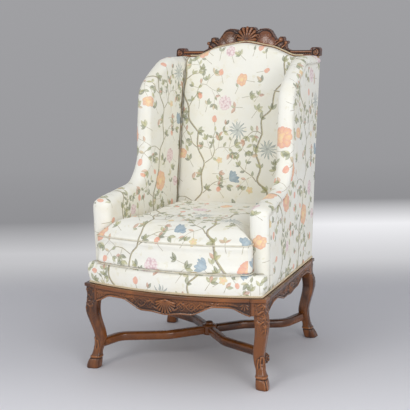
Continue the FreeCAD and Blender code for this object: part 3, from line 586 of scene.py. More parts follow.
def braid(name, colour):
    """Cotton or silk cord: fine twist lines over a slightly mottled colour."""
    mat = Finish(name)
    parts = mat.node("ShaderNodeSeparateXYZ", None, {0: mat.place()})
    twist = ((parts.out(0) + parts.out(1) + parts.out(2) * 1.7) * (math.tau / 0.0021)).math("SINE")
    mottle = mat.noise(mat.place(), 120.0, 3.0, 0.6)
    dark = tuple(part * 0.72 for part in colour)
    shade = (twist * 0.18 + mottle * 0.5).clamped()
    mixed = mat.mix(shade, colour, dark)
    mat.bump(twist * 0.5 + mottle * 0.3, 0.4, 0.0005)
    return mat.set(Base_Color=mixed, Roughness=0.7 + mottle * 0.15, Sheen_Weight=0.15)


def piping_cloth(name):
    """The ivory ground of the print on bias-cut piping, darkened with painted shade, with stray ends of
    stems.
    """
    own = colours()
    mat = Finish(name)
    mottle = mat.noise(mat.place(), 40.0, 3.0, 0.6)
    stray = mat.noise(mat.place((1.0, 1.0, 2.5)), 26.0, 2.0, 0.5)
    # Painted shade: the ground is darkened at least halfway to a dull ivory, and further where it mottles at
    # random
    ground = mat.mix(mottle.step(0.4, 0.7) * 0.5 + 0.5, own.ivory, srgb(206, 197, 170))
    colour = mat.mix(stray.step(0.62, 0.7) * 0.55, ground, own.leaf)
    parts = mat.node("ShaderNodeSeparateXYZ", None, {0: mat.place()})
    bias = ((parts.out(0) + parts.out(1) + parts.out(2)) * (math.tau / 0.0016)).math("SINE")
    mat.bump(bias, 0.2, 0.0004)
    return mat.set(Base_Color=colour, Roughness=0.6 + mottle * 0.1, Sheen_Weight=0.12)


# Outline helpers

def rounded_line(points, step=0.004, closed=False):
    """Points along straight runs joined by tangent arcs, from (u, v, radius) corners."""
    made = []
    count = len(points)
    for i, (u, v, radius) in enumerate(points):
        if radius <= 0.0 or (not closed and i in (0, count - 1)):
            made.append((u, v))
            continue
        pu, pv = points[i - 1][:2]
        nu, nv = points[(i + 1) % count][:2]
        before = np.array([u - pu, v - pv])
        after = np.array([nu - u, nv - v])
        before /= np.linalg.norm(before)
        after /= np.linalg.norm(after)
        turn = math.acos(max(-1.0, min(1.0, float(before @ after))))
        if turn < 1e-4:
            made.append((u, v))
            continue
        back = radius * math.tan(turn / 2.0)
        start = np.array([u, v]) - before * back
        bend = 1.0 if before[0] * after[1] - before[1] * after[0] > 0 else -1.0
        centre = start + np.array([-before[1], before[0]]) * radius * bend
        first = math.atan2(start[1] - centre[1], start[0] - centre[0])
        parts = max(3, int(radius * turn / step))
        for k in range(parts + 1):
            angle = first + bend * turn * k / parts
            made.append((centre[0] + radius * math.cos(angle), centre[1] + radius * math.sin(angle)))
    line = np.array(made)
    if closed:
        line = np.vstack([line, line[:1]])
    return resampled(line, step)


def resampled(line, step):
    lengths = np.linalg.norm(np.diff(line, axis=0), axis=1)
    marks = np.concatenate([[0.0], np.cumsum(lengths)])
    count = max(2, int(round(marks[-1] / step)) + 1)
    wanted = np.linspace(0.0, marks[-1], count)
    return np.stack([np.interp(wanted, marks, line[:, k]) for k in range(line.shape[1])], axis=1)


def nearest_on(line, points, columns=None):
    """Distance from each point to a dense line, the nearest place on it, and that place's other columns."""
    size = columns or line.shape[1]
    distance = np.full(len(points), 9.0)
    found = np.zeros((len(points), line.shape[1]))
    for start in range(0, len(points), 4000):
        part = points[start:start + 4000]
        gaps = ((part[:, None, :] - line[None, :, :size]) ** 2).sum(axis=2)
        best = gaps.argmin(axis=1)
        distance[start:start + 4000] = np.sqrt(gaps[np.arange(len(part)), best])
        found[start:start + 4000] = line[best]
    if columns is None:
        return distance, found
    return distance, found[:, :size], found[:, size:]


def outline_frame(line, points, outward_from):
    """Signed depth inside an outline, with the nearest place on it and its outward way."""
    along = np.gradient(line, axis=0)
    along /= np.linalg.norm(along, axis=1)[:, None]
    ways = np.stack([-along[:, 1], along[:, 0]], axis=1)
    middle = len(line) // 2
    if (line[middle] - np.array(outward_from)) @ ways[middle] < 0.0:
        ways = -ways
    nearest, way = nearest_on(np.hstack([line, ways]), points, 2)[1:]
    return ((nearest - points) * way).sum(axis=1), nearest, way


def rise(value, low, high):
    share = np.clip((value - low) / (high - low), 0.0, 1.0)
    return share * share * (3.0 - 2.0 * share)


def front_y(x, inset=0.0):
    reach = BOW_R - inset
    return BOW_CENTRE_Y - np.sqrt(np.maximum(reach ** 2 - np.asarray(x) ** 2, 0.0))


def back_y(z, offset=0.0):
    up = np.asarray(z) - BACK_CENTRE_Z
    return RAIL_BACK_Y + 0.004 + BACK_FOOT - np.sqrt((BACK_R + offset) ** 2 - up ** 2)


def smooth_noise(points, scale, seed):
    """Gentle random swell from a few sine waves in random directions."""
    rng = np.random.RandomState(seed)
    total = np.zeros(len(points))
    for _ in range(7):
        way = rng.normal(size=3)
        way /= np.linalg.norm(way)
        pace = math.tau / (scale * rng.uniform(0.7, 1.5))
        total += np.sin(points @ way * pace + rng.uniform(0, math.tau))
    return total / 7.0 ** 0.5


def side_place(points, side):
    """Depth inwards from the side's outer face, run back from the rail's front corner, and height."""
    across = points[:, 0] * side - FABRIC_FRONT_HALF
    back = points[:, 1] - RAIL_FRONT_Y
    depth = -(across * math.cos(SPLAY) + back * math.sin(SPLAY))
    run = -across * math.sin(SPLAY) + back * math.cos(SPLAY)
    return depth, run, points[:, 2].copy()


def side_unplace(depth, run, height, side):
    across = -depth * math.cos(SPLAY) - run * math.sin(SPLAY)
    back = -depth * math.sin(SPLAY) + run * math.cos(SPLAY)
    return np.stack([(across + FABRIC_FRONT_HALF) * side, back + RAIL_FRONT_Y, height], axis=1)


# Mesh helpers

def link_object(name, mesh):
    made = bpy.data.objects.new(name, mesh)
    bpy.context.scene.collection.objects.link(made)
    return made


def points_of(mesh):
    flat = np.zeros(len(mesh.vertices) * 3)
    mesh.vertices.foreach_get("co", flat)
    return flat.reshape(-1, 3)


def normals_of(mesh):
    flat = np.zeros(len(mesh.vertices) * 3)
    mesh.vertices.foreach_get("normal", flat)
    return flat.reshape(-1, 3)


def set_points(mesh, points):
    mesh.vertices.foreach_set("co", points.ravel())
    mesh.update()


def smooth_shaded(mesh):
    mesh.polygons.foreach_set("use_smooth", [True] * len(mesh.polygons))


def evaluated_mesh(obj):
    graph = bpy.context.evaluated_depsgraph_get()
    return bpy.data.meshes.new_from_object(obj.evaluated_get(graph))


def remeshed(nodes, name, voxel, tops=None):
    """One closed mesh of even quads round CAD nodes; of those in tops, only what is above a height."""
    joined = bmesh.new()
    for node, floor_z in (tops or {}).items():
        joined.from_mesh(frame["nodes"][node].data)
        bmesh.ops.remove_doubles(joined, verts=joined.verts, dist=1e-5)
        everything = joined.verts[:] + joined.edges[:] + joined.faces[:]
        cut = bmesh.ops.bisect_plane(joined, geom=everything, plane_co=(0.0, 0.0, floor_z),
            plane_no=(0.0, 0.0, 1.0), clear_inner=True)
        rim = [item for item in cut["geom_cut"] if isinstance(item, bmesh.types.BMEdge)]
        bmesh.ops.holes_fill(joined, edges=rim, sides=0)
    for node in nodes:
        joined.from_mesh(frame["nodes"][node].data)
    bmesh.ops.remove_doubles(joined, verts=joined.verts, dist=1e-5)
    mesh = bpy.data.meshes.new(name)
    joined.to_mesh(mesh)
    joined.free()
    obj = link_object(name, mesh)
    modifier = obj.modifiers.new("remesh", "REMESH")
    modifier.mode = "VOXEL"
    modifier.voxel_size = voxel
    made = evaluated_mesh(obj)
    obj.modifiers.clear()
    obj.data = made
    smooth_shaded(made)
    return obj


def relaxed(mesh, rounds, strength=0.5):
    """Evens the mesh out by moving each vertex towards the mean of its neighbours."""
    edges = np.zeros(len(mesh.edges) * 2, int)
    mesh.edges.foreach_get("vertices", edges)
    edges = edges.reshape(-1, 2)
    points = points_of(mesh)
    count = np.bincount(edges.ravel(), minlength=len(points)).astype(float)
    for _ in range(rounds):
        total = np.zeros_like(points)
        for axis in range(3):
            total[:, axis] = np.bincount(edges[:, 0], points[edges[:, 1], axis], len(points))
            total[:, axis] += np.bincount(edges[:, 1], points[edges[:, 0], axis], len(points))
        step = (total / count[:, None] - points) * strength
        points = points + step
    set_points(mesh, points)
    return points


def give(obj, material, body="chair", nodes=()):
    obj.data.materials.clear()
    obj.data.materials.append(material)
    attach(obj, body)
    if nodes:
        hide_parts(*nodes)
    return obj


# The printed vine: kinked stems, leaves and flowers over one repeat, drawn at random from a fixed seed

PEONY, CLUSTER, STAR, SPIKY, BUD, BELL = range(6)


class Vine:
    def __init__(self):
        own = prints()
        self.size = np.array([own.tile_w, own.tile_h])
        self.trunk = own.trunk
        self.leaf_length = own.leaf
        self.rng = np.random.RandomState(own.seed)
        self.segments = []
        self.leaves = []
        self.blooms = []
        self.ends = [(BUD, 0.016), (PEONY, 0.041), (BUD, 0.014), (BELL, 0.028), (STAR, 0.016), (BUD, 0.017),
            (SPIKY, 0.038), (BUD, 0.015), (PEONY, 0.024), (STAR, 0.015), (CLUSTER, 0.03), (BUD, 0.016),
            (BELL, 0.022), (BUD, 0.013), (CLUSTER, 0.022)]
        self.turn = 0
        self.grow()
        self.segments = np.array(self.segments)
        self.leaves = np.array(self.leaves)
        self.blooms = np.array(self.blooms)
        self.cells = {}

    def apart(self, first, second):
        gap = np.abs(np.asarray(first) - np.asarray(second)) % self.size
        gap = np.minimum(gap, self.size - gap)
        return np.hypot(gap[..., 0], gap[..., 1])

    def bloom_room(self, place, radius):
        """How far a disc stays clear of the flowers that are there."""
        gaps = [self.apart(place, bloom[:2]) - bloom[3] - radius for bloom in self.blooms]
        return min(gaps) if gaps else 1.0

    def stem_room(self, place, fresh=0):
        """How far a point stays clear of the stems, apart from the newest ones."""
        old = self.segments[:len(self.segments) - fresh]
        return self.apart(place, np.array(old)[:, 2:4]).min() if old else 1.0

    def add_leaf(self, place, heading, length, clear=0.01):
        way = np.array([math.cos(heading), math.sin(heading)])
        middle = place + 0.55 * length * way
        if self.bloom_room(middle, 0.15 * length) < 0.0:
            return
        for leaf in self.leaves[-60:]:
            other = leaf[:2] + 0.55 * leaf[3] * np.array([math.cos(leaf[2]), math.sin(leaf[2])])
            if self.apart(middle, other) < clear:
                return
        self.leaves.append([place[0], place[1], heading, length, self.rng.uniform(0.0, 0.999)])

    def spray(self, place, heading, count, scale=1.0):
        """Leaves that fan out from the tip of a twig."""
        for k in range(count):
            turn = (k - (count - 1) / 2.0) * self.rng.uniform(0.55, 0.85)
            length = self.leaf_length * scale * self.rng.uniform(0.7, 1.1)
            self.add_leaf(place, heading + turn, length, 0.008)

    def add_bloom(self, place, heading, radius, kind):
        if self.bloom_room(place, radius) < 0.01 or self.stem_room(place, 9) < radius * 0.75:
            return False
        lean = self.rng.uniform(-0.5, 0.5)
        self.blooms.append([place[0], place[1], heading - math.pi / 2.0 + lean, radius,
                kind + self.rng.uniform(0.05, 0.9)])
        return True

    def lay(self, corners, thick, thin):
        """Short pieces of stem along a kinked line, whose corners are eased a little."""
        line = np.array(corners)
        for _ in range(2):
            eased = [line[0]]
            for first, second in zip(line[:-1], line[1:]):
                eased += [first * 0.82 + second * 0.18, first * 0.18 + second * 0.82]
            line = np.array(eased + [line[-1]])
        line = resampled(line, 0.006)
        widths = np.linspace(thick, thin, len(line))
        for k in range(len(line) - 1):
            self.segments.append([*line[k], *line[k + 1], widths[k]])
        return line

    def limb(self, place, heading, length, thick, depth):
        """A kinked branch that forks, and ends in a flower or a spray of leaves."""
        rng = self.rng
        corners = [np.array(place, float)]
        ways = [heading]
        run = 0.0
        side = 1 if rng.uniform() < 0.5 else -1
        while run < length:
            piece = rng.uniform(0.018, 0.038)
            for _ in range(6):
                turned = heading + side * rng.uniform(0.12, 0.7)
                ahead = corners[-1] + piece * np.array([math.cos(turned), math.sin(turned)])
                if self.stem_room(ahead, 0) > 0.017 and self.bloom_room(ahead, 0.004) > 0.0:
                    break
                side = -side
            else:
                break
            side = -side if rng.uniform() < 0.72 else side
            heading = turned
            corners.append(ahead)
            ways.append(heading)
            run += piece
        if len(corners) < 2:
            self.spray(corners[0], heading, 3)
            return
        thin = max(0.0008, thick * 0.5)
        self.lay(corners, thick, thin)
        tip, way = corners[-1], ways[-1]
        kind, radius = self.ends[self.turn % len(self.ends)]
        reach = np.array([math.cos(way), math.sin(way)])
        flowered = rng.uniform() < 0.8 and self.add_bloom(tip + reach * radius * 0.78, way, radius, kind)
        if flowered:
            self.turn += 1
            for away in (-1.0, 1.0):
                self.add_leaf(tip - reach * 0.004, way + away * rng.uniform(0.8, 1.2), self.leaf_length * 0.7)
        else:
            self.spray(tip, way, rng.randint(3, 5))
        for k in range(1, len(corners) - 1):
            away = 1.0 if (k % 2) else -1.0
            if depth > 0 and rng.uniform() < 0.66:
                share = 1.0 - 0.5 * k / len(corners)
                way_out = ways[k] + away * rng.uniform(0.75, 1.15)
                short = length * rng.uniform(0.34, 0.6)
                self.limb(corners[k], way_out, short, max(0.0008, thick * 0.62 * share), depth - 1)
            else:
                self.spray(corners[k], ways[k] + away * rng.uniform(0.6, 1.0), rng.randint(2, 5), 0.85)
            if rng.uniform() < 0.7:
                self.add_leaf(corners[k], ways[k] - away * rng.uniform(0.5, 1.1), self.leaf_length * 0.8)

    def grow(self):
        width, height = self.size
        rng = self.rng
        trunks = []
        for stem in range(2):
            middle = width * (0.24 + 0.5 * stem)
            count = 13
            level = (np.arange(count) + rng.uniform(-0.25, 0.25, count)) / count * height
            sway = 0.052 * np.sin(math.tau * level / height + 2.4 * stem)
            sway += np.where(np.arange(count) % 2 == 0, 0.013, -0.013) * rng.uniform(0.4, 1.4, count)
            corners = [np.array([middle + s, z]) for s, z in zip(sway, level)]
            corners.append(corners[0] + np.array([0.0, height]))
            half = count // 2
            self.lay(corners[:half + 1], self.trunk * (1.15 if stem else 0.75), self.trunk * 0.9)
            self.lay(corners[half:], self.trunk * 0.9, self.trunk * (0.75 if stem else 1.15))
            trunks.append(corners)
        for k in range(1, 13):
            for stem, corners in enumerate(trunks):
                way = corners[k] - corners[k - 1]
                heading = math.atan2(way[1], way[0])
                away = 1.0 if (k + stem) % 2 else -1.0
                if (k + stem) % 3:
                    self.limb(corners[k], heading + away * rng.uniform(0.65, 1.05), rng.uniform(0.1, 0.19),
                        self.trunk * rng.uniform(0.45, 0.65), 2)
                else:
                    self.spray(corners[k], heading + away, rng.randint(2, 5))
        for _ in range(900):
            spot = rng.uniform(0, 1, 2) * self.size
            middles = np.array([[leaf[0], leaf[1]] for leaf in self.leaves])
            if self.stem_room(spot) < 0.034 or self.apart(spot, middles).min() < 0.03:
                continue
            if self.bloom_room(spot, 0.014) < 0.01:
                continue
            heading = rng.uniform(0.3, 2.8)
            self.limb(spot, heading, 0.022, 0.001, 0)

    def around(self, column, row, step, reach):
        """Stems, leaves and flowers near one small square of the repeat."""
        if (column, row) in self.cells:
            return self.cells[column, row]
        centre = (np.array([column, row]) + 0.5) * step
        found = []
        for items, extra in ((self.segments, 0.0), (self.leaves, 0.0), (self.blooms, 0.05)):
            near = []
            for dx in (-1, 0, 1):
                for dy in (-1, 0, 1):
                    moved = items.copy()
                    shift = self.size * np.array([dx, dy])
                    moved[:, 0:2] += shift
                    if items is self.segments:
                        moved[:, 2:4] += shift
                    gap = np.abs(moved[:, 0:2] - centre).max(axis=1)
                    near.append(moved[gap < reach + extra])
            found.append(np.vstack(near))
        self.cells[column, row] = found
        return found


vine = None


def print_on(obj, corners, painted_shade=None):
    """Writes the print's layout on a mesh: corners holds each face corner's place on the flat fabric, and the
    third argument holds painted shade for creases and seams.
    """
    global vine
    if vine is None:
        vine = Vine()
    mesh = obj.data
    count = len(mesh.polygons)
    starts = np.zeros(count, int)
    totals = np.zeros(count, int)
    mesh.polygons.foreach_get("loop_start", starts)
    mesh.polygons.foreach_get("loop_total", totals)
    owner = np.repeat(np.arange(count), totals)
    middle = np.stack([np.bincount(owner, corners[:, k], count) for k in range(2)], axis=1) / totals[:, None]
    shift = np.floor(middle / vine.size) * vine.size
    spot = middle - shift
    step = 0.04
    reach = 0.075
    cell = np.floor(spot / step).astype(int)
    order = np.lexsort((cell[:, 1], cell[:, 0]))
    stems = np.full((count, 5), 5.0)
    leaves = np.tile(np.array([9.0, 9.0, 0.0, 0.03, 0.5]), (count, 1))
    under = leaves.copy()
    blooms = np.tile(np.array([9.0, 9.0, 0.0, 0.03, 0.5]), (count, 1))
    splits = np.flatnonzero(np.any(np.diff(cell[order], axis=0) != 0, axis=1)) + 1
    for faces in np.split(order, splits):
        near_stems, near_leaves, near_blooms = vine.around(*cell[faces[0]], step, reach)
        here = spot[faces]
        if len(near_stems):
            first = near_stems[:, 0:2]
            run = near_stems[:, 2:4] - first
            share = ((here[:, None] - first) * run).sum(2) / (run ** 2).sum(1)
            foot = first + np.clip(share, 0.0, 1.0)[..., None] * run
            gap = np.linalg.norm(here[:, None] - foot, axis=2) - near_stems[:, 4]
            stems[faces] = near_stems[gap.argmin(axis=1)]
        if len(near_leaves):
            way = np.stack([np.cos(near_leaves[:, 2]), np.sin(near_leaves[:, 2])], axis=1)
            first = near_leaves[:, 0:2] + 0.25 * near_leaves[:, 3:4] * way
            run = 0.5 * near_leaves[:, 3:4] * way
            share = ((here[:, None] - first) * run).sum(2) / (run ** 2).sum(1)
            foot = first + np.clip(share, 0.0, 1.0)[..., None] * run
            gap = np.linalg.norm(here[:, None] - foot, axis=2)
            best = gap.argmin(axis=1)
            leaves[faces] = near_leaves[best]
            gap[np.arange(len(faces)), best] = 9.0
            under[faces] = near_leaves[gap.argmin(axis=1)]
        if len(near_blooms):
            gap = np.linalg.norm(here[:, None] - near_blooms[:, 0:2], axis=2) - near_blooms[:, 3]
            blooms[faces] = near_blooms[gap.argmin(axis=1)]
    flat = corners - shift[owner]

    def local(items, size):
        gap = flat - items[owner, 0:2]
        turn = items[owner, 2]
        along = (gap[:, 0] * np.cos(turn) + gap[:, 1] * np.sin(turn)) / size
        across = (-gap[:, 0] * np.sin(turn) + gap[:, 1] * np.cos(turn)) / size
        return along, across

    run = stems[:, 2:4] - stems[:, 0:2]
    heading = np.arctan2(run[:, 1], run[:, 0])
    gap = flat - stems[owner, 0:2]
    across = -gap[:, 0] * np.sin(heading[owner]) + gap[:, 1] * np.cos(heading[owner])
    along = gap[:, 0] * np.cos(heading[owner]) + gap[:, 1] * np.sin(heading[owner])
    length = np.linalg.norm(run, axis=1)[owner]
    # Past the end of a stem its width runs out, so that it ends there
    past = np.maximum(-along, along - length) - 0.002
    write_corners(mesh, "stem", along, across, stems[owner, 4] - np.clip(past, 0.0, 0.05))
    for name, items in (("leaf", leaves), ("leaf_under", under)):
        along, across = local(items, items[owner, 3])
        write_corners(mesh, name, along, across, items[owner, 4])
    along, across = local(blooms, blooms[owner, 3])
    write_corners(mesh, "bloom", along, across, blooms[owner, 4])
    if painted_shade is None:
        painted_shade = np.zeros(len(mesh.vertices))
    vertex = np.zeros(len(mesh.loops), int)
    mesh.loops.foreach_get("vertex_index", vertex)
    write_corners(mesh, "cloth", corners[:, 0], corners[:, 1], painted_shade[vertex])


def write_corners(mesh, name, first, second, third):
    layer = mesh.attributes.new(name, "FLOAT_VECTOR", "CORNER")
    layer.data.foreach_set("vector", np.stack([first, second, third], axis=1).astype(np.float32).ravel())


def write_points(mesh, name, values):
    """A vector attribute whose first number varies over the vertices."""
    layer = mesh.attributes.new(name, "FLOAT_VECTOR", "POINT")
    rows = np.zeros((len(values), 3), np.float32)
    rows[:, 0] = values
    layer.data.foreach_set("vector", rows.ravel())


def corner_places(mesh, panels, choice):
    """Each face corner's place on the fabric: panels holds one map of the vertices for each panel."""
    vertex = np.zeros(len(mesh.loops), int)
    mesh.loops.foreach_get("vertex_index", vertex)
    totals = np.zeros(len(mesh.polygons), int)
    mesh.polygons.foreach_get("loop_total", totals)
    panel = np.repeat(choice, totals)
    stacked = np.stack(panels)
    return stacked[panel, vertex]


def face_data(mesh):
    count = len(mesh.polygons)
    centres = np.zeros(count * 3)
    normals = np.zeros(count * 3)
    mesh.polygons.foreach_get("center", centres)
    mesh.polygons.foreach_get("normal", normals)
    return centres.reshape(-1, 3), normals.reshape(-1, 3)


def fabric():
    return finish_of("printed_fabric", printed_fabric)


# Upholstery

def arm_bulge(run, height):
    """How far the stuffing carries the arm's outer face out, most at its front."""
    level = rise(height, RAIL_TOP + 0.004, RAIL_TOP + 0.04) * (1.0 - rise(height, 0.62, 0.84))
    return sizes().arm_bulge * (1.0 - rise(run, 0.08, 0.36)) * level


def side_upholstery(side, word):
    """Arm and wing in one: rolled edges, a soft inner face and a groove where the outer panel is sewn on."""
    own = sizes()
    parts = ["arm_pad", "wing_pad", "arm_stump", "arm_rail", "wing_upright", "wing_top_rail"]
    obj = remeshed([part + "_" + word for part in parts], "side_upholstery_" + word, own.fabric_voxel,
        {"back_post_" + word: 1.03})
    mesh = obj.data
    relaxed(mesh, 3, 0.4)
    outline = rounded_line(SIDE_OUTLINE, 0.002)
    points = points_of(mesh)
    depth, run, height = side_place(points, side)
    flat = np.stack([run, height], axis=1)
    inset, _, outward = outline_frame(outline, flat, (0.5, 0.6))
    inset = np.maximum(inset, 0.0)
    middle = EDGE_R - np.clip(inset, 0.0, EDGE_R)
    roll = EDGE_R - np.sqrt(np.maximum(EDGE_R ** 2 - middle ** 2, 0.0))
    near_outer = depth < 0.0075
    seam = rise(inset, 0.0225, 0.0255)
    depth = np.where(near_outer, roll * (1.0 - seam) + np.maximum(depth, 0.004) * seam, depth)
    lying = rise(height, 0.545, 0.62)
    inner = rise(depth, 0.045, 0.058) * rise(inset, 0.012, 0.075)
    wing = rise(height, 0.6, 0.74) * (1.0 - rise(height, 0.95, 1.06)) * (1.0 - rise(run, 0.46, 0.6))
    depth += inner * (0.0008 + 0.0016 * wing * lying)
    flat_depth = depth.copy()
    depth -= arm_bulge(run, height) * (1.0 - rise(depth, 0.026, 0.056))
    set_points(mesh, side_unplace(depth, run, height, side))
    points = points_of(mesh)
    normals = normals_of(mesh)
    swell = own.arm_swell * rise(height, 0.42, 0.57) * (1.0 - rise(run, 0.1, 0.3))
    swell *= 1.0 - rise(depth, 0.03, 0.055) * (1.0 - lying)
    swell *= 1.0 - rise(inset, 0.014, 0.022) * near_outer
    swell += 0.0025 * rise(height, 0.62, 0.7) * (1.0 - rise(inset, 0.01, 0.024)) * (1.0 - rise(run, 0.5, 0.6))
    rumple = 0.0007 * smooth_noise(points, 0.11, 3) + 0.0003 * smooth_noise(points, 0.035, 4)
    hidden = rise(height, 0.313, 0.335)
    swell = np.maximum(swell, 0.0032 * rise(run, 0.575, 0.59) * rise(height, 1.022, 1.034))
    rumple *= 1.0 - rise(depth, 0.05, 0.06) * (1.0 - lying)
    points = points + normals * ((swell + rumple) * hidden)[:, None]
    points[:, 2] = np.maximum(points[:, 2], RAIL_TOP + 0.0002)
    set_points(mesh, points)

    depth = flat_depth
    depth_in = SIDE_T - depth
    bend = EDGE_R * np.arccos(np.clip(1.0 - np.clip(depth_in, 0.0, EDGE_R) / EDGE_R, -1.0, 1.0))
    far_bend = EDGE_R * np.arccos(np.clip(1.0 - np.clip(depth, 0.0, EDGE_R) / EDGE_R, -1.0, 1.0))
    straight = SIDE_T - 2.0 * EDGE_R
    reach = np.where(depth_in < EDGE_R, bend, EDGE_R * math.pi / 2.0 + depth_in - EDGE_R)
    reach = np.where(depth < EDGE_R, EDGE_R * math.pi + straight - far_bend, reach)
    rolled = (1.0 - rise(inset, EDGE_R - 0.001, EDGE_R)) * np.maximum(rise(depth, 0.0, 0.001), inset < EDGE_R)
    unrolled = flat + outward * ((reach - middle) * rolled)[:, None]
    unrolled = np.stack([-unrolled[:, 0] * side + 0.37, unrolled[:, 1] + 0.05], axis=1)
    choice = np.zeros(len(mesh.polygons), int)
    # Painted shade in the groove where the outer panel is sewn on, and in the crease against the back
    painted_shade = rise(depth, 0.0, 0.002) * near_outer * rise(inset, 0.0222, 0.0245) * 0.55
    back_gap = back_y(points[:, 2], BACK_T) - points[:, 1]
    painted_shade = np.maximum(painted_shade, (1.0 - rise(back_gap, 0.001, 0.01)) * rise(depth, 0.045, 0.055) * 0.45)
    print_on(obj, corner_places(mesh, [unrolled], choice), painted_shade)
    give(obj, fabric(), "chair", ["arm_pad_" + word, "wing_pad_" + word])
    return obj


def sheet_boundary(node, keep):
    """Ordered outline of the faces of a CAD node that keep() picks, as points."""
    copy = bmesh.new()
    copy.from_mesh(frame["nodes"][node].data)
    bmesh.ops.remove_doubles(copy, verts=copy.verts, dist=1e-5)
    copy.normal_update()
    chosen = {face for face in copy.faces if keep(face)}
    ways = {}
    for edge in copy.edges:
        inside = [face for face in edge.link_faces if face in chosen]
        if len(inside) == 1:
            for loop in inside[0].loops:
                if loop.edge == edge:
                    ways[loop.vert.index] = loop.link_loop_next.vert.index
    places = {vert.index: vert.co.copy() for vert in copy.verts}
    copy.free()
    loops = []
    while ways:
        start = next(iter(ways))
        line = [start]
        here = ways.pop(start)
        while here != start and here in ways:
            line.append(here)
            here = ways.pop(here)
        loops.append(line)
    longest = max(loops, key=len)
    return np.array([places[index][:] for index in longest])


def filled_sheet(outline, step):
    """Triangles inside a closed flat outline with evenly spaced points: places and faces."""
    rim = resampled(np.vstack([outline, outline[:1]]), step)[:-1]
    low = rim.min(axis=0)
    high = rim.max(axis=0)
    across = np.arange(low[0] + step / 2, high[0], step)
    up = np.arange(low[1] + step / 2, high[1], step)
    grid = np.array([(u + (step / 2 if k % 2 else 0.0), v) for k, v in enumerate(up) for u in across])
    dense = resampled(np.vstack([rim, rim[:1]]), step / 4)
    clear = nearest_on(dense, grid)[0]
    grid = grid[clear > step * 0.6]
    every = np.vstack([rim, grid])
    count = len(rim)
    edges = [(k, (k + 1) % count) for k in range(count)]
    made = delaunay_2d_cdt([Vector(p) for p in every], edges, [list(range(count))], 1, 1e-7)
    places = np.array([p[:] for p in made[0]])
    return places, made[2]


def plate(name, places, faces, front, rear):
    """Closed plate from a flat mesh: front and rear hold the two sides' points."""
    count = len(places)
    verts = np.vstack([front, rear])
    uses = {}
    for face in faces:
        for k in range(3):
            edge = (face[k], face[(k + 1) % 3])
            uses[edge] = uses.get(edge, 0) + 1
    polygons = [list(face) for face in faces]
    polygons += [[index + count for index in reversed(face)] for face in faces]
    for (a, b) in uses:
        if (b, a) not in uses:
            polygons.append([b, a, a + count, b + count])
    mesh = bpy.data.meshes.new(name)
    mesh.from_pydata([tuple(v) for v in verts], [], polygons)
    mesh.update()
    shaped = bmesh.new()
    shaped.from_mesh(mesh)
    loose = [vert for vert in shaped.verts if not vert.link_faces]
    bmesh.ops.delete(shaped, geom=loose, context="VERTS")
    bmesh.ops.recalc_face_normals(shaped, faces=shaped.faces)
    shaped.to_mesh(mesh)
    shaped.free()
    smooth_shaded(mesh)
    return link_object(name, mesh)


def declare_cover(places, faces):
    """Adds up the area of the flat outline that the places fill; the area is not used."""
    first, second, third = (places[[face[k] for face in faces]] for k in range(3))
    across, up = second - first, third - first
    area = float(np.abs(across[:, 0] * up[:, 1] - across[:, 1] * up[:, 0]).sum() / 2.0)


def outer_side(side, word):
    """Outer panel of the side, sewn on inside the roll."""
    node = "outer_side_cover_" + word
    copy = frame["nodes"][node].data
    everything = points_of(copy)
    face_out = side_place(everything, side)[0].min()

    def keep(face):
        middle = np.array([face.calc_center_median()[:]])
        return side_place(middle, side)[0][0] < face_out + 0.0004

    loop = sheet_boundary(node, keep)
    _, run, height = side_place(loop, side)
    places, faces = filled_sheet(np.stack([run, height], axis=1), 0.0075)
    outline = resampled(np.stack([run, height], axis=1)[list(range(len(run))) + [0]], 0.002)
    inset = nearest_on(outline, places)[0]
    puff = -0.0016 + 0.003 * (1.0 - np.exp(-inset / 0.007)) + 0.0016 * rise(inset, 0.02, 0.12)
    base = side_unplace(np.zeros(len(places)), places[:, 0], places[:, 1], side)
    puff += 0.0005 * smooth_noise(base, 0.12, 8) * rise(inset, 0.0, 0.03)
    bulge = arm_bulge(places[:, 0], places[:, 1])
    front = side_unplace(-puff - bulge, places[:, 0], places[:, 1], side)
    rear = side_unplace(0.0038 - bulge, places[:, 0], places[:, 1], side)
    obj = plate("outer_side_panel_" + word, places, faces, front, rear)
    flat = side_place(points_of(obj.data), side)
    spread = np.stack([flat[1] * side + 0.31, flat[2] + 0.16], axis=1)
    inset = nearest_on(outline, np.stack([flat[1], flat[2]], axis=1))[0]
    # Painted shade along the panel's sewn edge
    painted_shade = (1.0 - rise(inset, 0.0005, 0.003)) * 0.5
    choice = np.zeros(len(obj.data.polygons), int)
    print_on(obj, corner_places(obj.data, [spread], choice), painted_shade)
    give(obj, fabric(), "chair", [node])
    declare_cover(places, faces)


def outer_back():
    """Plain outer back, sewn between the posts."""
    def keep(face):
        middle = face.calc_center_median()
        return abs(middle.y - float(back_y(middle.z, 0.0))) < 0.0006 and face.normal.y > 0.5

    loop = sheet_boundary("outer_back_cover", keep)
    line = loop[:, [0, 2]]
    places, faces = filled_sheet(line, 0.0075)
    dense = resampled(np.vstack([line, line[:1]]), 0.002)
    inset = nearest_on(dense, places)[0]
    base = np.stack([places[:, 0], back_y(places[:, 1], 0.0), places[:, 1]], axis=1)
    puff = -0.0014 + 0.0028 * (1.0 - np.exp(-inset / 0.007)) + 0.0012 * rise(inset, 0.02, 0.12)
    puff += 0.0005 * smooth_noise(base, 0.14, 9) * rise(inset, 0.0, 0.03)
    front = base.copy()
    front[:, 1] += puff
    rear = base.copy()
    rear[:, 1] = back_y(places[:, 1], 0.0036)
    obj = plate("outer_back_panel", places, faces, front, rear)
    points = points_of(obj.data)
    spread = np.stack([-points[:, 0] + 0.1, points[:, 2]], axis=1)
    inset = nearest_on(dense, points[:, [0, 2]])[0]
    # Painted shade along the panel's sewn edge
    painted_shade = (1.0 - rise(inset, 0.0005, 0.003)) * 0.5
    print_on(obj, corner_places(obj.data, [spread], np.zeros(len(obj.data.polygons), int)), painted_shade)
    give(obj, fabric(), "chair", ["outer_back_cover"])
    declare_cover(places, faces)


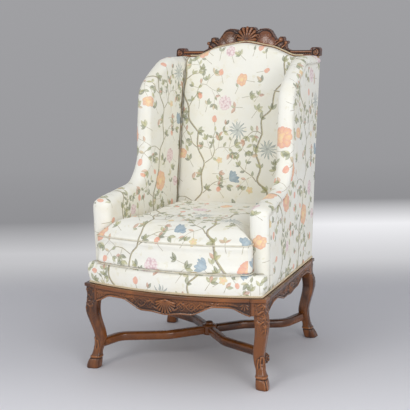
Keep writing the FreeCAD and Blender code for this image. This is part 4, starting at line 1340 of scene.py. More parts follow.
def inside_back():
    """Stuffed inside back: crowned at its middle and drawn in beside the wings."""
    own = sizes()
    obj = remeshed(["back_pad"], "inside_back", own.fabric_voxel)
    mesh = obj.data
    relaxed(mesh, 4, 0.4)
    points = points_of(mesh)
    face_gap = points[:, 1] - back_y(points[:, 2], BACK_T)
    facing = 1.0 - rise(np.abs(face_gap), 0.004, 0.022)
    half = 0.2419
    edge = half - np.abs(points[:, 0])
    free = rise(points[:, 2], 0.535, 0.64)
    top = 1.078 + 0.056 * (1.0 - rise(np.abs(points[:, 0]), 0.03, 0.2)) - points[:, 2]
    crown = own.back_crown * (1.0 - (np.clip(np.abs(points[:, 0]) / half, 0, 1)) ** 2.6) * free
    crown *= rise(top, 0.0, 0.16)
    crown -= 0.0045 * (1.0 - rise(edge, 0.001, 0.016)) * free
    crown += (0.0008 * smooth_noise(points, 0.15, 12) + 0.0003 * smooth_noise(points, 0.05, 13)) * free
    points[:, 1] -= crown * facing
    set_points(mesh, points)
    spread = np.stack([points[:, 0] + 0.335, points[:, 2] + 0.27], axis=1)
    # Painted shade along the sides, where the back meets the wings
    painted_shade = (1.0 - rise(edge, 0.001, 0.009)) * 0.95
    print_on(obj, corner_places(mesh, [spread], np.zeros(len(mesh.polygons), int)), painted_shade)
    give(obj, fabric(), "chair", ["back_pad"])
    return obj


def seat_border():
    """Rolled border below the cushion, and the stuffed deck behind it."""
    own = sizes()
    obj = remeshed(["front_border"], "seat_border", own.fabric_voxel * 0.9)
    mesh = obj.data
    relaxed(mesh, 3, 0.4)
    points = points_of(mesh)
    normals = normals_of(mesh)
    level = (points[:, 2] - RAIL_TOP) / (BORDER_TOP - RAIL_TOP)
    swell = 0.003 * np.sin(np.clip(level, 0, 1) * math.pi) ** 0.7 * rise(-normals[:, 1], 0.2, 0.8)
    swell += 0.0005 * smooth_noise(points, 0.07, 21) * rise(-normals[:, 1], 0.2, 0.8)
    points = points + normals * swell[:, None]
    points[:, 2] = np.clip(points[:, 2], RAIL_TOP + 0.0002, BORDER_TOP - 0.0003)
    for side in (1.0, -1.0):
        depth, run, height = side_place(points, side)
        depth -= arm_bulge(run, height) * (1.0 - rise(depth, 0.0, 0.06))
        points = np.where((points[:, 0] * side > 0)[:, None], side_unplace(depth, run, height, side), points)
    set_points(mesh, points)
    front = front_y(points[:, 0], BORDER_INSET)
    wall = np.stack([points[:, 0] + 0.36, points[:, 2] - BORDER_TOP + 0.43], axis=1)
    top = np.stack([points[:, 0] + 0.36, points[:, 1] - front + 0.43], axis=1)
    normals = face_data(mesh)[1]
    choice = (normals[:, 2] > 0.7).astype(int)
    # Painted shade on the border's top behind its front lip, under the cushion
    under = 1.0 - rise(points[:, 1] - front, 0.01, 0.024)
    painted_shade = rise(points[:, 2], BORDER_TOP - 0.002, BORDER_TOP - 0.0006) * (1.0 - under) * 0.9
    print_on(obj, corner_places(mesh, [wall, top], choice), painted_shade)
    give(obj, fabric(), "chair", ["front_border"])

    deck = remeshed(["seat_stuffing"], "seat_deck", own.fabric_voxel * 1.4)
    points = relaxed(deck.data, 3, 0.4)
    points[:, 2] = np.clip(points[:, 2], RAIL_TOP + 0.0002, BORDER_TOP - 0.0003)
    set_points(deck.data, points)
    print_on(deck, corner_places(deck.data, [points[:, :2]], np.zeros(len(deck.data.polygons), int)))
    give(deck, fabric(), "chair", ["seat_stuffing"])


# Loose cushion

CUSHION_FRONT_HALF = 0.285
CUSHION_INSET = 0.006
EAR_GAP = 0.009
ARM_SETBACK = 0.045
CUSHION_CORNER_R = 0.022
SIDE_GAP = 0.005
CUSHION_CLEAR = 0.0045


def cushion_half(y):
    along = (y - RAIL_FRONT_Y) / SEAT_DEPTH
    fabric_half = FABRIC_FRONT_HALF + (FABRIC_BACK_HALF - FABRIC_FRONT_HALF) * along
    return fabric_half - SIDE_T / math.cos(SPLAY) - SIDE_GAP


def cushion_plan(step=0.003, drawn_in=0.0):
    """The cushion's seam line in plan, closed: bowed front, ears before the arms, straight sides."""
    ear_y = RAIL_FRONT_Y + ARM_SETBACK - EAR_GAP
    back_at = float(back_y(BORDER_TOP, BACK_T)) - SIDE_GAP
    reach = BOW_R - CUSHION_INSET
    end_y = BOW_CENTRE_Y - math.sqrt(reach ** 2 - CUSHION_FRONT_HALF ** 2)
    middle_y = RAIL_FRONT_Y - FRONT_BOW + CUSHION_INSET
    right = [(cushion_half(back_at) - drawn_in, back_at, CUSHION_CORNER_R),
        (cushion_half(ear_y) - drawn_in, ear_y, EAR_GAP * 0.6), (CUSHION_FRONT_HALF, ear_y, EAR_GAP),
        (CUSHION_FRONT_HALF, end_y, CUSHION_CORNER_R), ]
    line = right + [(0.0, 2.0 * middle_y - end_y, reach * 0.9)]
    line += [(-x, y, radius) for x, y, radius in reversed(right)]
    return rounded_line(line, step, closed=True)


def filled_with_cloth(obj):
    """Lets cloth under pressure swell the cushion, and returns the swollen points."""
    own = sizes()
    scene = bpy.context.scene
    modifier = obj.modifiers.new("filling", "CLOTH")
    settings = modifier.settings
    settings.quality = 6
    settings.mass = 0.3
    settings.tension_stiffness = 18.0
    settings.compression_stiffness = 18.0
    settings.shear_stiffness = 8.0
    settings.bending_stiffness = 0.6
    settings.use_pressure = True
    settings.uniform_pressure_force = own.cushion_pressure
    settings.effector_weights.gravity = 0.0
    modifier.collision_settings.use_collision = False
    modifier.point_cache.frame_start = 1
    modifier.point_cache.frame_end = 20
    for step in range(1, 21):
        scene.frame_set(step)
    made = evaluated_mesh(obj)
    points = points_of(made)
    obj.modifiers.remove(modifier)
    bpy.data.meshes.remove(made)
    scene.frame_set(1)
    return points


def loose_cushion():
    """Feather cushion: swollen by simulation, held in at its two piped seams, flat where it rests."""
    own = sizes()
    obj = remeshed(["seat_cushion"], "loose_cushion", own.cushion_voxel)
    mesh = obj.data
    rest = relaxed(mesh, 3, 0.4)
    normals = normals_of(mesh)
    plan = cushion_plan()
    seams = np.vstack([np.column_stack([plan, np.full(len(plan), z)]) for z in (SEAM_LOW, SEAM_HIGH)])
    seam_gap = nearest_on(seams, rest)[0]
    held = 1.0 - rise(seam_gap, 0.002, 0.03)
    set_points(mesh, rest - normals * 0.002)
    swollen = filled_with_cloth(obj)
    move = swollen - rest
    size = np.linalg.norm(move, axis=1)
    move *= (np.minimum(size, own.cushion_cap) / np.maximum(size, 1e-9))[:, None]
    side_wall = 1.0 - np.abs(normals[:, 2])
    move *= (1.0 - held)[:, None]
    points = rest + move
    normals = normals_of(mesh)
    around = np.arctan2(rest[:, 1] + 0.1, rest[:, 0])
    pucker = np.sin(around * 61.0 + 2.0 * np.sin(around * 17.0)) * (1.0 - rise(seam_gap, 0.004, 0.034))
    pucker *= rise(seam_gap, 0.001, 0.008)
    points += normals * (0.0007 * pucker + 0.001 * smooth_noise(rest, 0.12, 31) * (1.0 - held))[:, None]
    points -= normals * (0.0022 * (1.0 - rise(seam_gap, 0.0, 0.007)))[:, None]
    wall = side_wall * rise(rest[:, 2], SEAM_LOW, SEAM_LOW + 0.02)
    wall *= 1.0 - rise(rest[:, 2], SEAM_HIGH - 0.02, SEAM_HIGH)
    ahead = 1.0 - rise(rest[:, 1], RAIL_FRONT_Y, RAIL_FRONT_Y + 0.1)
    points += normals * (0.0025 * wall * ahead)[:, None]
    upper = rise(normals[:, 2], 0.7, 0.95) * rise(rest[:, 2], SEAM_HIGH + 0.01, SEAM_HIGH + 0.028)
    phase = rest[:, 1] / 0.034 + 0.9 * smooth_noise(rest, 0.22, 33)
    ripple = np.sin(math.tau * phase) * np.clip(smooth_noise(rest, 0.16, 35) + 0.35, 0.0, 1.0)
    points[:, 2] += 0.0011 * ripple * upper
    points[:, 2] = np.where(rest[:, 2] < SEAM_LOW, np.maximum(points[:, 2], CUSHION_FLOOR), points[:, 2])
    below = 1.0 - rise(rest[:, 2], SEAM_LOW - 0.003, SEAM_LOW + 0.001)
    points[:, :2] -= normals[:, :2] * (0.004 * below)[:, None]
    bottom = (normals[:, 2] < -0.8)
    points[bottom, 2] = np.maximum(points[bottom, 2], CUSHION_FLOOR)
    # Keep clear of the arms beside it and of the back behind it
    for side in (1.0, -1.0):
        depth, run, height = side_place(points, side)
        here = points[:, 0] * side > 0
        beside = side_place(rest, side)[1] > ARM_SETBACK - EAR_GAP + 0.0015
        depth = np.where(beside & here, np.maximum(depth, SIDE_T + CUSHION_CLEAR), depth)
        ear = ~beside & here & (depth < SIDE_T + CUSHION_CLEAR)
        run = np.where(ear, np.minimum(run, ARM_SETBACK - EAR_GAP + 0.002), run)
        moved = side_unplace(depth, run, height, side)
        points = np.where((points[:, 0] * side > 0)[:, None], moved, points)
    points[:, 1] = np.minimum(points[:, 1], back_y(points[:, 2], BACK_T) - 0.0016)
    set_points(mesh, points)
    finer = obj.modifiers.new("finer", "SUBSURF")
    finer.levels = 1
    finer.render_levels = 1
    made = evaluated_mesh(obj)
    obj.modifiers.clear()
    obj.data = made
    smooth_shaded(made)
    points = points_of(made)
    points[:, 2] = np.maximum(points[:, 2], CUSHION_FLOOR)
    set_points(made, points)
    seam_gap = nearest_on(seams, points)[0]
    front = front_y(points[:, 0], CUSHION_INSET)
    top = np.stack([points[:, 0] + 0.3, points[:, 1] - front + 0.115], axis=1)
    wall = np.stack([points[:, 0] + 0.3, points[:, 2] - SEAM_HIGH + 0.115], axis=1)
    flank = np.stack([points[:, 1] + 0.9, points[:, 2] - SEAM_HIGH + 0.2], axis=1)
    centres, faces = face_data(made)
    choice = np.where(np.abs(faces[:, 2]) > 0.62, 0, np.where(np.abs(faces[:, 0]) > 0.75, 2, 1))
    choice = np.where((centres[:, 2] > SEAM_HIGH + 0.001) | (centres[:, 2] < SEAM_LOW), 0, choice)
    # Painted shade beside the piped seams and on the cushion's underside below the lower seam
    painted_shade = (1.0 - rise(seam_gap, 0.002, 0.0065)) * 0.55
    painted_shade = np.maximum(painted_shade, 1.0 - rise(points[:, 2], SEAM_LOW - 0.0025, SEAM_LOW - 0.0005))
    print_on(obj, corner_places(made, [top, wall, flank], choice), painted_shade)
    give(obj, fabric(), "cushion", ["seat_cushion"])


# Trims that follow a path, made by geometry nodes

def line_object(name, points, closed=False):
    mesh = bpy.data.meshes.new(name)
    count = len(points)
    edges = [(k, k + 1) for k in range(count - 1)]
    if closed:
        edges.append((count - 1, 0))
    mesh.from_pydata([tuple(point) for point in points], edges, [])
    return link_object(name, mesh)


class Tree:
    """A geometry node tree with named inputs."""

    def __init__(self, name, inputs):
        self.group = bpy.data.node_groups.new(name, "GeometryNodeTree")
        face = self.group.interface
        face.new_socket("Path", in_out="INPUT", socket_type="NodeSocketGeometry")
        for label, kind in inputs:
            face.new_socket(label, in_out="INPUT", socket_type=kind)
        face.new_socket("Trim", in_out="OUTPUT", socket_type="NodeSocketGeometry")
        self.start = self.group.nodes.new("NodeGroupInput")
        self.end = self.group.nodes.new("NodeGroupOutput")

    def node(self, kind, settings=None, inputs=None):
        made = self.group.nodes.new(kind)
        for key, value in (settings or {}).items():
            setattr(made, key, value)
        for key, value in (inputs or {}).items():
            items = value if isinstance(value, list) else [value]
            for item in items:
                if isinstance(item, bpy.types.NodeSocket):
                    self.group.links.new(item, made.inputs[key])
                else:
                    made.inputs[key].default_value = item
        return made

    def first(self, kind, settings=None, inputs=None):
        return self.node(kind, settings, inputs).outputs[0]

    def maths(self, operation, *values):
        inputs = {index: value for index, value in enumerate(values)}
        return self.node("ShaderNodeMath", {"operation": operation}, inputs).outputs[0]

    def vector(self, operation, *values, out=0):
        inputs = {index: value for index, value in enumerate(values)}
        return self.node("ShaderNodeVectorMath", {"operation": operation}, inputs).outputs[out]

    def finish(self, geometry, material):
        real = self.node("GeometryNodeRealizeInstances", None, {0: geometry}).outputs[0]
        painted = self.node("GeometryNodeSetMaterial", None, {0: real, "Material": material}).outputs[0]
        self.group.links.new(painted, self.end.inputs[0])


def run_tree(obj, tree, values):
    """Adds the tree, sets its named inputs, and puts the plain mesh that it makes in the object."""
    modifier = obj.modifiers.new("trim", "NODES")
    modifier.node_group = tree.group
    for item in tree.group.interface.items_tree:
        if item.item_type == "SOCKET" and item.in_out == "INPUT" and item.name in values:
            modifier[item.identifier] = values[item.name]
    made = evaluated_mesh(obj)
    obj.modifiers.remove(modifier)
    obj.data = made
    smooth_shaded(made)
    return obj


def braid_tree():
    """Three cords that cross over and under each other along the path."""
    tree = Tree("gimp_braid", [
        ("Pitch", "NodeSocketFloat"), ("Half height", "NodeSocketFloat"), ("Cord radius", "NodeSocketFloat"),
        ("Upright", "NodeSocketVector"), ("Material", "NodeSocketMaterial")])
    path, pitch, half, cord, upright, material = tree.start.outputs[:6]
    curve = tree.first("GeometryNodeMeshToCurve", None, {0: path})
    fine = tree.maths("DIVIDE", pitch, 9.0)
    curve = tree.first("GeometryNodeResampleCurve", {"mode": "LENGTH"}, {"Curve": curve, "Length": fine})
    tangent = tree.first("GeometryNodeInputTangent")
    outward = tree.vector("NORMALIZE", tree.vector("CROSS_PRODUCT", tangent, upright))
    across = tree.vector("NORMALIZE", tree.vector("CROSS_PRODUCT", outward, tangent))
    length = tree.node("GeometryNodeSplineParameter").outputs["Length"]
    angle = tree.maths("MULTIPLY", tree.maths("DIVIDE", length, pitch), math.tau / 1.5)
    profile = tree.first("GeometryNodeCurvePrimitiveCircle", None, {"Resolution": 6, "Radius": cord})
    cords = []
    for number in range(3):
        phase = tree.maths("ADD", angle, number * math.tau / 3.0)
        swing = tree.maths("MULTIPLY", tree.maths("SINE", phase), half)
        twice = tree.maths("SINE", tree.maths("MULTIPLY", phase, 2.0))
        lift = tree.maths("MULTIPLY", twice, tree.maths("MULTIPLY", cord, 0.8))
        scale = {"operation": "SCALE"}
        first = tree.first("ShaderNodeVectorMath", scale, {0: across, "Scale": swing})
        second = tree.first("ShaderNodeVectorMath", scale, {0: outward, "Scale": lift})
        step = tree.vector("ADD", first, second)
        moved = tree.first("GeometryNodeSetPosition", None, {"Geometry": curve, "Offset": step})
        cords.append(tree.node("GeometryNodeCurveToMesh", None,
                {"Curve": moved, "Profile Curve": profile, "Fill Caps": True}).outputs[0])
    both = tree.first("GeometryNodeJoinGeometry", None, {0: cords})
    tree.finish(both, material)
    return tree


def cord_tree():
    """A round cord along the path."""
    tree = Tree("round_cord", [("Radius", "NodeSocketFloat"), ("Sides", "NodeSocketInt"),
            ("Material", "NodeSocketMaterial")])
    path, radius, sides, material = tree.start.outputs[:4]
    curve = tree.first("GeometryNodeMeshToCurve", None, {0: path})
    profile = tree.first("GeometryNodeCurvePrimitiveCircle", None, {"Resolution": sides, "Radius": radius})
    tube = tree.node("GeometryNodeCurveToMesh", None,
        {"Curve": curve, "Profile Curve": profile, "Fill Caps": True}).outputs[0]
    tree.finish(tube, material)
    return tree


def fabric_foot_path():
    """Along the foot of the fabric: up one side, round the bowed front and back along the other."""
    off = 0.0016
    half = FABRIC_FRONT_HALF
    xs = np.linspace(-half, half, 160)
    front = np.column_stack([xs, front_y(xs, BORDER_INSET) - off])
    end_y = float(front_y(half, BORDER_INSET))
    rear = RAIL_BACK_Y
    ahead = (FABRIC_BACK_HALF - FABRIC_FRONT_HALF) / (RAIL_BACK_Y - RAIL_FRONT_Y)
    rear_half = FABRIC_FRONT_HALF + ahead * (rear - RAIL_FRONT_Y)
    side = np.array([[-rear_half - off, rear], [-half - off, end_y + 0.001]])
    other = side[::-1] * np.array([-1.0, 1.0])
    line = resampled(np.vstack([side, front, other]), 0.004)
    return np.column_stack([line, np.full(len(line), RAIL_TOP + 0.005)])


def crest_line_path(offset, raise_by, reach):
    line = rounded_line(CREST_ARCH, 0.004)
    line = line[line[:, 0] <= reach]
    line = np.vstack([line[::-1] * np.array([-1.0, 1.0]), line[1:]])
    z = WING_TOP + line[:, 1] + raise_by
    return np.column_stack([line[:, 0], back_y(z, offset), z])


def trims():
    own = sizes()
    material = finish_of("gimp_braid", braid, tuple(colours().gimp))
    tree = braid_tree()
    values = {"Pitch": own.gimp_pitch, "Half height": 0.0027}
    values.update({"Cord radius": own.gimp_cord, "Material": material})
    foot = line_object("foot_gimp", fabric_foot_path())
    run_tree(foot, tree, dict(values, Upright=(0.0, 0.0, 1.0)))
    give(foot, material, "chair", ["edge_gimp"])
    under = line_object("crest_braid", crest_line_path(CREST_FACE + 0.0016, 0.005, 0.238))
    fine = {"Half height": 0.002, "Cord radius": own.gimp_cord * 0.8, "Pitch": own.gimp_pitch * 0.8}
    run_tree(under, tree, {**values, "Upright": (0.0, 0.0, 1.0), **fine})
    give(under, material, "chair", ["crest_gimp"])


def cords():
    own = sizes()
    tree = cord_tree()
    cover = finish_of("piping_cloth", piping_cloth)
    plan = cushion_plan(0.004, 0.0018)[:-1]
    loops = []
    for z in (SEAM_LOW, SEAM_HIGH):
        line = line_object("seam", np.column_stack([plan, np.full(len(plan), z)]), closed=True)
        run_tree(line, tree, {"Radius": PIPING_R, "Sides": 12, "Material": cover})
        loops.append(line)
    joined = bmesh.new()
    for line in loops:
        joined.from_mesh(line.data)
        bpy.data.objects.remove(line)
    mesh = bpy.data.meshes.new("cushion_seam_piping")
    joined.to_mesh(mesh)
    joined.free()
    smooth_shaded(mesh)
    give(link_object("cushion_seam_piping", mesh), cover, "cushion", ["cushion_piping"])
    dark = finish_of("seam_welt", braid, tuple(colours().welt))
    for side, word in ((1.0, "right"), (-1.0, "left")):
        z = np.linspace(0.45, 1.05, 90)
        y = back_y(z, BACK_T) - 0.0015
        depth = np.full(len(z), SIDE_T + own.welt_r * 0.6)
        run = (y - RAIL_FRONT_Y - depth * math.sin(SPLAY)) / math.cos(SPLAY)
        # From the crease it turns forward over the wing's rolled top
        turn = np.linspace(0.0, 1.0, 36)[1:]
        over = np.sin(turn * math.pi / 2.0)
        crown = EDGE_R - own.welt_r * 0.4
        top_depth = np.where(turn < 0.5, SIDE_T - crown * (1.0 - np.cos(turn * math.pi)),
            SIDE_T - crown - (turn - 0.5) * 2.0 * (SIDE_T - 2.0 * crown))
        risen = np.sin(np.minimum(turn * 2.0, 1.0) * math.pi / 2.0)
        top_z = WING_TOP + own.welt_r * 0.3 - crown * (1.0 - risen)
        run_top = run[-1] + 0.01 + 0.03 * over
        rising = np.vstack([side_unplace(depth, run, z, side),
                side_unplace(top_depth + own.welt_r * 0.4, run_top, top_z, side)])
        welt = line_object("wing_welt_" + word, rising)
        run_tree(welt, tree, {"Radius": own.welt_r, "Sides": 8, "Material": dark})
        give(welt, dark, "chair", [])


# Carving: strokes are tapered ridges laid on a face, and the mesh is pushed out along its normals

def stroke(points, widths, heights):
    points = np.array(points, float)
    share = np.linspace(0.0, 1.0, len(points))
    ends = np.linspace(0.0, 1.0, len(widths))
    tall = np.linspace(0.0, 1.0, len(heights))
    return points, np.interp(share, ends, widths), np.interp(share, tall, heights)


def bent(start, angle, length, curl, count=9):
    """Points of a line that leaves at an angle and curls by curl radians over its length."""
    points = [np.array(start, float)]
    for k in range(count):
        heading = angle + curl * (k + 0.5) / count
        points.append(points[-1] + length / count * np.array([math.cos(heading), math.sin(heading)]))
    return points


def scroll(centre, radius, turns, first, way, width, height):
    """Spiral from its outer end in to its eye."""
    points = []
    count = int(22 * turns)
    for k in range(count + 1):
        share = k / count
        angle = first + way * share * turns * math.tau
        reach = radius * (1.0 - 0.86 * share)
        points.append((centre[0] + reach * math.cos(angle), centre[1] + reach * math.sin(angle)))
    return [stroke(points, [width, width * 0.6], [height * 0.8, height])]


def acanthus(start, angle, length, curl, width, height, lobes=4):
    """A leaf: a curved rib with pairs of lobes that shorten towards the tip."""
    spine = bent(start, angle, length, curl, 12)
    made = [stroke(spine, [width * 0.45, width * 0.3, width * 0.12], [height, height * 1.1, height * 0.5])]
    for k in range(lobes):
        share = (k + 0.4) / lobes
        at = spine[int(share * 11)]
        heading = angle + curl * share
        reach = length * 0.34 * (1.0 - 0.55 * share)
        for side in (1, -1):
            line = bent(at, heading + side * 0.75, reach, -side * 0.7, 6)
            lobe_widths = [width * 0.22, width * 0.26, width * 0.12]
            made.append(stroke(line, lobe_widths, [height * 0.6, height * 0.8, height * 0.5]))
    return made


def shell(base, angle, spread, length, flutes, width, height, shorter=0.3):
    """Fan of rounded flutes that widen outwards."""
    made = []
    for k in range(flutes):
        side = 2.0 * k / (flutes - 1) - 1.0
        heading = angle + side * spread
        reach = length * (1.0 - shorter * side * side)
        line = bent(base, heading, reach, side * 0.12, 8)
        made.append(stroke(line, [width * 0.3, width * 0.8, width], [height * 0.45, height, height * 0.9]))
    return made


def disc(centre, radius, height):
    return [stroke([centre, (centre[0] + 1e-5, centre[1])], [radius], [height])]


def both_sides(strokes):
    flip = np.array([-1.0, 1.0])
    return strokes + [(points * flip, widths, heights) for points, widths, heights in strokes]


def relief_of(u, v, strokes):
    """Height of the carving at each point: the highest stroke that covers it."""
    height = np.zeros(len(u))
    for points, widths, tall in strokes:
        reach = widths.max()
        low = points.min(axis=0) - reach
        high = points.max(axis=0) + reach
        near = np.flatnonzero((u > low[0]) & (u < high[0]) & (v > low[1]) & (v < high[1]))
        if not len(near):
            continue
        here = np.stack([u[near], v[near]], axis=1)
        first = points[:-1]
        run = points[1:] - first
        size = np.maximum((run ** 2).sum(axis=1), 1e-12)
        share = np.clip(((here[:, None] - first) * run).sum(2) / size, 0.0, 1.0)
        gap = np.linalg.norm(here[:, None] - (first + share[..., None] * run), axis=2)
        wide = widths[:-1] + share * (widths[1:] - widths[:-1])
        high_at = tall[:-1] + share * (tall[1:] - tall[:-1])
        part = high_at * np.sqrt(np.clip(1.0 - (gap / np.maximum(wide, 1e-5)) ** 2, 0.0, 1.0))
        height[near] = np.maximum(height[near], part.max(axis=1))
    return height


def edge_of(u, v, side, step=0.004):
    """The lowest (side -1) or highest (side 1) v of the mesh at each point's u."""
    bins = np.floor((u - u.min()) / step).astype(int)
    count = bins.max() + 1
    edge = np.full(count, -9.0 * side)
    if side > 0:
        np.maximum.at(edge, bins, v)
    else:
        np.minimum.at(edge, bins, v)
    centres = u.min() + (np.arange(count) + 0.5) * step
    return np.interp(u, centres, edge)


def lozenges(u, v, pitch):
    """Diagonal lattice of small pillows: 1 in the middle of a pillow and 0 in the grooves between."""
    first = np.abs(np.sin((u + v) * math.pi / pitch))
    second = np.abs(np.sin((u - v) * math.pi / pitch))
    return np.sqrt(np.minimum(first, second))


def running_scroll(us, low, high, waves, width, height, seed):
    """Wavy stem between two edges, with a spiral and small leaves in each bend."""
    rng = np.random.RandomState(seed)
    middle = (low + high) / 2.0
    half = (high - low) / 2.0
    share = np.linspace(0.0, 1.0, len(us))
    line = middle + half * 0.55 * np.sin(math.pi * waves * share)
    made = [stroke(np.column_stack([us, line]), [width, width * 0.8], [height, height * 0.9])]
    for k in range(waves):
        at = int((k + 0.5) / waves * (len(us) - 1))
        sign = 1.0 if k % 2 == 0 else -1.0
        reach = half[at] * 0.62
        centre = (us[at], middle[at] - sign * half[at] * 0.22)
        made += scroll(centre, reach, 1.25, sign * 1.2, -sign, width * 0.9, height * 1.1)
        made += disc(centre, width * 1.2, height * 1.3)
        for turn in (0.25, 0.5, 0.75, 1.0):
            spot = int((k + turn) / waves * (len(us) - 1))
            for way in (1.0, -1.0):
                angle = way * rng.uniform(0.6, 1.3)
                size = half[spot] * rng.uniform(0.55, 0.95)
                made += acanthus((us[spot], line[spot]), angle, size, -way * 0.7, width * 1.9, height, 2)
    return made


def stands_out(mesh, push, rounds=9):
    """How far each point stands out from its neighbourhood."""
    edges = np.zeros(len(mesh.edges) * 2, int)
    mesh.edges.foreach_get("vertices", edges)
    edges = edges.reshape(-1, 2)
    count = np.bincount(edges.ravel(), minlength=len(push)).astype(float)
    level = push.copy()
    for _ in range(rounds):
        total = np.bincount(edges[:, 0], level[edges[:, 1]], len(push))
        total += np.bincount(edges[:, 1], level[edges[:, 0]], len(push))
        level = total / count
    return push - level


def carve(obj, push, material, nodes, shade=0.0):
    """Pushes the mesh along its normals; its hollows and ridges are kept for the finish, and shade lowers
    them as painted shade.
    """
    mesh = obj.data
    points = points_of(mesh) + normals_of(mesh) * push[:, None]
    points[:, 2] = np.maximum(points[:, 2], 0.0)
    set_points(mesh, points)
    # Painted shade: shade lowers the relief, so the finish darkens there as in a hollow
    relief = stands_out(mesh, push) / 0.0008 + push * 110.0 - shade
    write_points(mesh, "relief", np.clip(relief, -1.0, 1.0))
    return give(obj, material, "chair", nodes)


def carved_front_rail():
    own = sizes()
    obj = remeshed(["front_rail"], "carved_front_rail", own.wood_voxel)
    relaxed(obj.data, 2, 0.4)
    points = points_of(obj.data)
    normals = normals_of(obj.data)
    u, v = points[:, 0], points[:, 2]
    facing = rise(-normals[:, 1], 0.35, 0.75) * (points[:, 1] < front_y(u, 0.004))
    lower = edge_of(u, v, -1)
    lift = v - lower
    us = np.linspace(0.04, 0.185, 90)
    order = np.argsort(u)
    low = np.interp(us, u[order], lower[order]) + 0.006
    strokes = running_scroll(us, low, np.full(90, 0.2975), 4, 0.0017, 0.0026, 3)
    strokes += shell((0.27, 0.2965), -math.pi / 2, 0.9, 0.022, 5, 0.003, 0.0026)
    strokes += acanthus((0.248, 0.289), 2.9, 0.04, 0.3, 0.006, 0.0024, 4)
    strokes = both_sides(strokes) + shell((0.0, 0.2965), -math.pi / 2, 1.2, 0.046, 11, 0.0042, 0.0054, 0.25)
    strokes += disc((0.0, 0.2955), 0.0052, 0.0062)
    strokes += both_sides(acanthus((0.02, 0.262), -0.15, 0.034, 1.1, 0.0072, 0.0034, 4))
    raised = relief_of(u, v, strokes)
    bead = np.sqrt(np.clip(1.0 - ((lift - 0.0028) / 0.0027) ** 2, 0.0, 1.0)) * 0.002
    field = rise(lift, 0.0054, 0.0072) * (1.0 - rise(v, 0.298, 0.2996))
    top_line = np.exp(-((v - 0.2996) / 0.0011) ** 2) * 0.0014
    pillows = lozenges(u, v, 0.0094) * 0.0016 * (raised < 0.0003)
    push = (bead + field * (-0.0018 + raised + pillows) - top_line) * facing
    material = finish_of("walnut_along_x", walnut, tuple(colours().walnut), (0.1, 1.0, 1.0))
    # Painted shade: faces that look down are darkened
    carve(obj, push, material, ["front_rail"], (normals[:, 2] < -0.5) * 0.4)


def carved_side_rail(side, word):
    own = sizes()
    node = "side_rail_" + word
    obj = remeshed([node], "carved_" + node, own.wood_voxel)
    relaxed(obj.data, 2, 0.4)
    points = points_of(obj.data)
    normals = normals_of(obj.data)
    low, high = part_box(node)
    middle = (low.y + high.y) / 2.0
    u, v = points[:, 1] - middle, points[:, 2]
    depth, _, _ = side_place(points, side)
    facing = rise(normals[:, 0] * side, 0.35, 0.75) * (depth < 0.004)
    lower = edge_of(u, v, -1)
    lift = v - lower
    us = np.linspace(0.034, 0.225, 90)
    order = np.argsort(u)
    low = np.interp(us, u[order], lower[order]) + 0.006
    strokes = running_scroll(us, low, np.full(90, 0.2975), 5, 0.0016, 0.0024, 8)
    strokes += acanthus((0.27, 0.29), 3.0, 0.04, 0.2, 0.0056, 0.0022, 4)
    strokes = both_sides(strokes) + shell((0.0, 0.296), -math.pi / 2, 1.1, 0.04, 9, 0.0042, 0.0046, 0.25)
    strokes += both_sides(acanthus((0.018, 0.272), -0.1, 0.028, 0.9, 0.0062, 0.003, 4))
    raised = relief_of(u, v, strokes)
    bead = np.sqrt(np.clip(1.0 - ((lift - 0.0028) / 0.0027) ** 2, 0.0, 1.0)) * 0.002
    field = rise(lift, 0.0054, 0.0072) * (1.0 - rise(v, 0.298, 0.2996))
    top_line = np.exp(-((v - 0.2996) / 0.0011) ** 2) * 0.0014
    pillows = lozenges(u, v, 0.0094) * 0.0015 * (raised < 0.0003)
    push = (bead + field * (-0.0016 + raised + pillows) - top_line) * facing
    material = finish_of("walnut_along_y", walnut, tuple(colours().walnut), (1.0, 0.1, 1.0))
    # Painted shade: faces that look down are darkened
    carve(obj, push, material, [node], (normals[:, 2] < -0.5) * 0.4)


